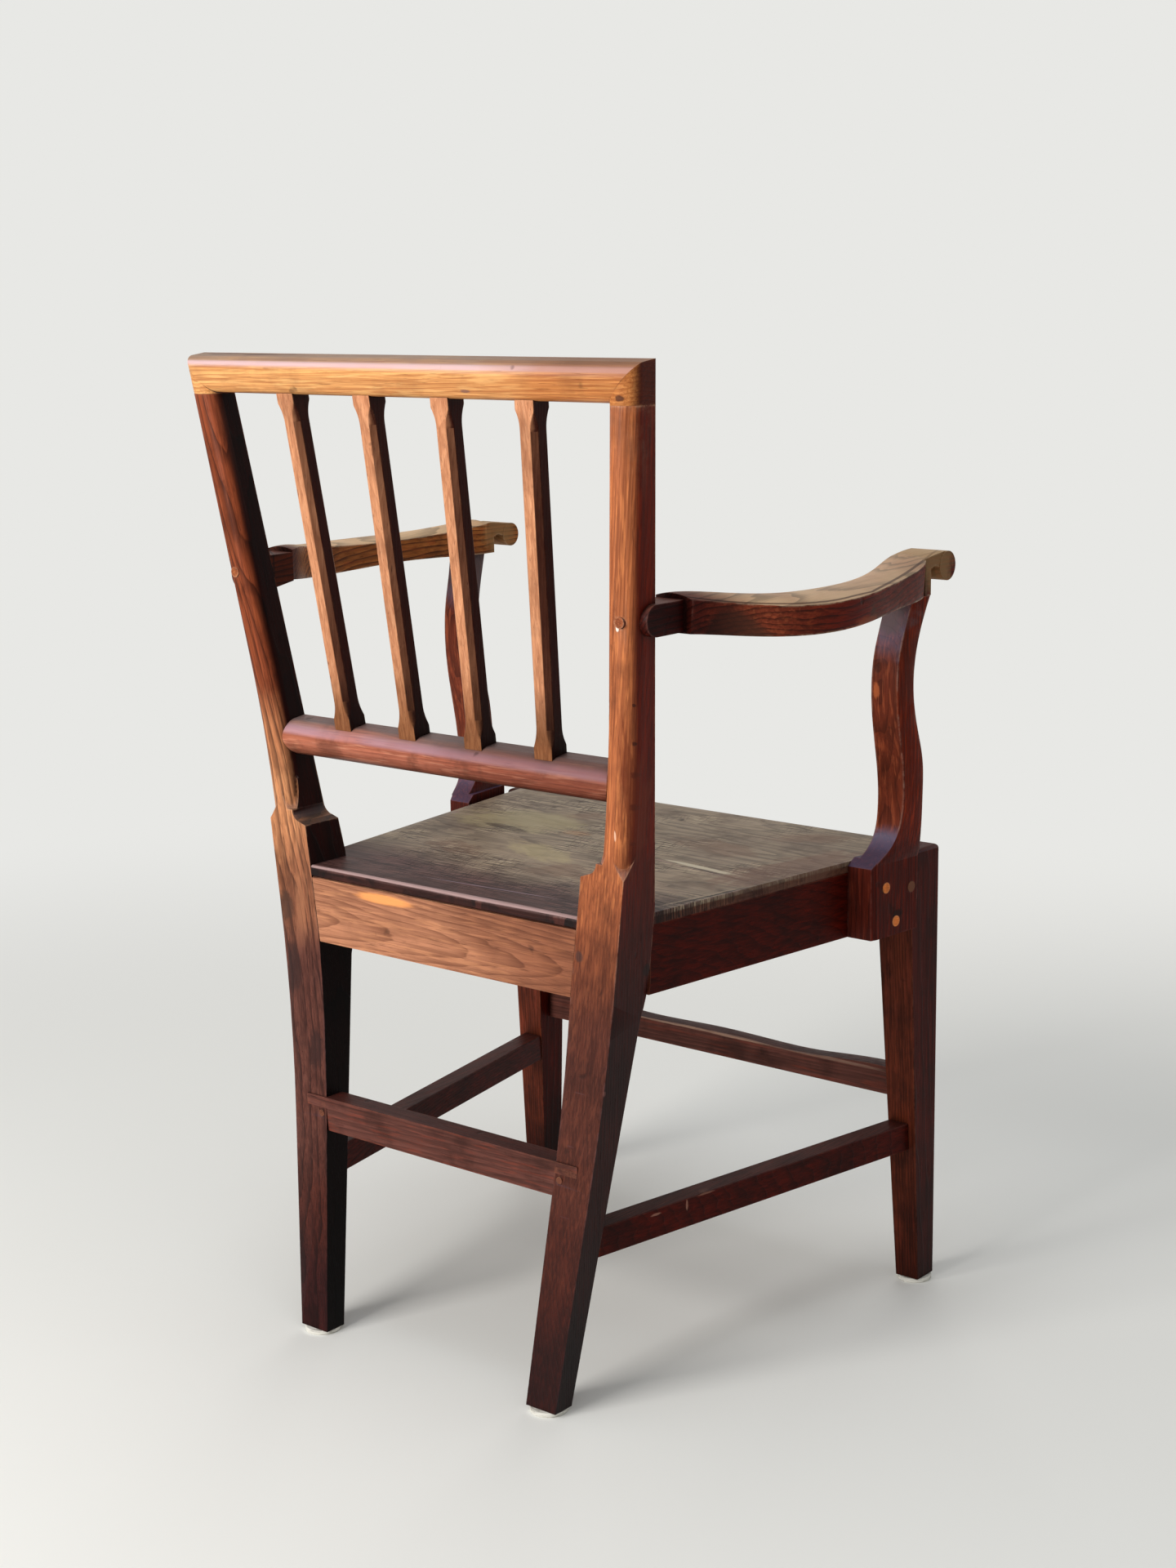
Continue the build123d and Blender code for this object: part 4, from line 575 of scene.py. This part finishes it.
# ---------------------------------------------------------------- pegs, plugs and screws
# Round pegs hold the supports and the back stretcher, and wooden plugs like the posts cover the two
# screws. The supports' pegs show pale end grain, all but the foremost on each side, which is dirty,
# and the stretcher's pegs are dark.
peg_wood = timber("peg_wood", "X", (0.0, 0.0, 0.0),
                  {"Pale": tone(250, 160, 84), "Dark": tone(170, 92, 44), "Ring Width": 0.0016,
                   "Streak": 0.3},
                  {"Unfaded And Shaded Tint": tone(255, 225, 200), "Corner Shade And Dirt": 0.4, "Stain Amount": 0.3, "Stain Size": 0.01})
for side in (-1, 1):
    blemish(peg_wood, (0.24 * side, -0.161, 0.4055), (0.10, 0.015, 0.015), tone(84, 52, 38), 0.9, 0.2)
dress(peg_wood, "arm_support_pegs_left", "arm_support_pegs_right", ease=0.0004)
dark_peg_wood = timber("dark_peg_wood", "Y", (0.0, 0.0, 0.0),
                       {"Pale": tone(116, 66, 46), "Dark": tone(66, 34, 24), "Ring Width": 0.0016},
                       {"Corner Shade And Dirt": 0.6, "Stain Amount": 0.4, "Stain Size": 0.01})
dress(dark_peg_wood, "back_stretcher_pegs", ease=0.0004)
plug_wood = timber("plug_wood", "Y", (0.0, 0.0, 0.0),
                   {**post_figure, "Pale": tone(168, 94, 56), "Ring Width": 0.0018, "Fleck": 0.2}, post_use)
dress(plug_wood, "arm_plug_left", "arm_plug_right", ease=0.0004)
steel = bpy.data.materials.new("screw_steel")
steel.use_nodes = True
tree = steel.node_tree
metal = tree.nodes["Principled BSDF"]
spot = put(tree, "ShaderNodeTexCoord").outputs["Object"]
tarnish = cloud(tree, spot, 900.0, 4.0, 0.7)
wire(tree, blend(tree, ramp(tree, tarnish, 0.4, 0.65), tone(120, 116, 110), tone(70, 50, 40)),
     metal.inputs["Base Color"])
wire(tree, ramp(tree, tarnish, 0.3, 0.7, 0.3, 0.6), metal.inputs["Roughness"])
metal.inputs["Metallic"].default_value = 1.0
for name in ("arm_screw_left", "arm_screw_right"):
    chair[name].data.materials.clear()
    chair[name].data.materials.append(steel)

# ---------------------------------------------------------------- glide pads
# Moulded white pads, nailed under the feet in our own time. They have yellowed a little and
# picked up grey scuffs round the rim.
pad_stuff = bpy.data.materials.new("pad_plastic")
pad_stuff.use_nodes = True
tree = pad_stuff.node_tree
moulded = tree.nodes["Principled BSDF"]
spot = put(tree, "ShaderNodeTexCoord").outputs["Object"]
scuffs = cloud(tree, stretched(tree, spot, 60.0, 60.0, 400.0), 1.0, 5.0, 0.7)
wire(tree, blend(tree, ramp(tree, scuffs, 0.45, 0.7), tone(226, 224, 216), tone(150, 144, 134)),
     moulded.inputs["Base Color"])
wire(tree, ramp(tree, scuffs, 0.4, 0.7, 0.45, 0.7), moulded.inputs["Roughness"])
wire(tree, put(tree, "ShaderNodeBump", Strength=0.3, Distance=0.0004, Height=scuffs).outputs[0],
     moulded.inputs["Normal"])
for name in ("front_left", "front_right", "rear_left", "rear_right"):
    chair[f"foot_pad_{name}"].data.materials.clear()
    chair[f"foot_pad_{name}"].data.materials.append(pad_stuff)

# ---------------------------------------------------------------- floor, light and camera
# A plain pale floor that runs into a pale backdrop, a large soft lamp behind the chair and to its
# left, weaker ones in front and overhead, and a long lens a good two metres away.
PALE = tone(232, 232, 229)
FLOOR_RADIUS = 14.0
FADE_START = 0.7
FADE_END = 2.2
AMBIENT = 0.38
mesh = bpy.data.meshes.new("floor")
ground = bmesh.new()
bmesh.ops.create_circle(ground, cap_ends=True, segments=96, radius=FLOOR_RADIUS)
ground.to_mesh(mesh)
ground.free()
floor = bpy.data.objects.new("floor", mesh)
bpy.context.scene.collection.objects.link(floor)
paint = bpy.data.materials.new("floor_paint")
paint.use_nodes = True
tree = paint.node_tree
tree.nodes.clear()
away = put(tree, "ShaderNodeVectorMath", {"operation": "LENGTH"})
wire(tree, put(tree, "ShaderNodeTexCoord").outputs["Object"], away.inputs[0])
sight = put(tree, "ShaderNodeLightPath")
matt_paint = put(tree, "ShaderNodeBsdfPrincipled", Base_Color=tone(238, 238, 235), Roughness=0.8)
horizon = put(tree, "ShaderNodeEmission", Color=PALE, Strength=1.0)
distance = ramp(tree, away.outputs["Value"], FADE_START, FADE_END)
seen = sum_of(tree, "MULTIPLY", distance, sight.outputs["Is Camera Ray"])
mixed = put(tree, "ShaderNodeMixShader", Fac=seen)
wire(tree, matt_paint.outputs[0], mixed.inputs[1])
wire(tree, horizon.outputs[0], mixed.inputs[2])
put(tree, "ShaderNodeOutputMaterial", Surface=mixed.outputs[0])
mesh.materials.append(paint)

sky = bpy.data.worlds.new("backdrop")
sky.use_nodes = True
bpy.context.scene.world = sky
tree = sky.node_tree
tree.nodes.clear()
sight = put(tree, "ShaderNodeLightPath")
direct = sum_of(tree, "MAXIMUM", sight.outputs["Is Camera Ray"], sight.outputs["Is Transmission Ray"])
direct = sum_of(tree, "MAXIMUM", direct, sight.outputs["Is Glossy Ray"])
brightness = sum_of(tree, "MULTIPLY_ADD", direct, 1.0 - AMBIENT, AMBIENT)
glow = put(tree, "ShaderNodeBackground", Color=PALE, Strength=brightness)
put(tree, "ShaderNodeOutputWorld", Surface=glow.outputs[0])


def soft_lamp(name, place, aim, size, watts, colour, mirrored=True):
    """A square soft lamp that faces a point. mirrored lets it show in polish."""
    light = bpy.data.lights.new(name, "AREA")
    light.size = size
    light.energy = watts
    light.color = colour
    lamp = bpy.data.objects.new(name, light)
    lamp.visible_glossy = mirrored
    lamp.location = place
    lamp.rotation_euler = (Vector(aim) - Vector(place)).to_track_quat("-Z", "Y").to_euler()
    bpy.context.scene.collection.objects.link(lamp)


soft_lamp("window", (0.55, 2.78, 1.45), (0.0, 0.0, 0.5), 1.4, 74.0, (1.0, 0.97, 0.93))
soft_lamp("front_fill", (1.1, -2.6, 1.1), (0.0, 0.0, 0.5), 1.8, 22.0, (1.0, 0.98, 0.96), mirrored=False)
soft_lamp("overhead", (-0.2, 0.3, 2.9), (0.0, 0.0, 0.4), 1.8, 20.0, (0.90, 0.95, 1.0))

yaw = math.radians(39.45)
pitch = math.radians(11.80)
roll = math.radians(-0.86)
STAND = (-1.415, 1.704, 0.959)
ahead = Vector((math.sin(yaw) * math.cos(pitch), -math.cos(yaw) * math.cos(pitch), -math.sin(pitch)))
level_right = ahead.cross(Vector((0, 0, 1))).normalized()
level_up = level_right.cross(ahead)
right = math.cos(roll) * level_right + math.sin(roll) * level_up
up = -math.sin(roll) * level_right + math.cos(roll) * level_up
lens = bpy.data.cameras.new("camera")
lens.sensor_fit = "HORIZONTAL"
lens.sensor_width = 36.0
lens.lens = 75.2
camera = bpy.data.objects.new("camera", lens)
camera.matrix_world = (Matrix.Translation(STAND)
                       @ Matrix((right, up, -ahead)).transposed().to_4x4())
bpy.context.scene.collection.objects.link(camera)
bpy.context.scene.camera = camera
bpy.context.scene.view_settings.view_transform = "Standard"
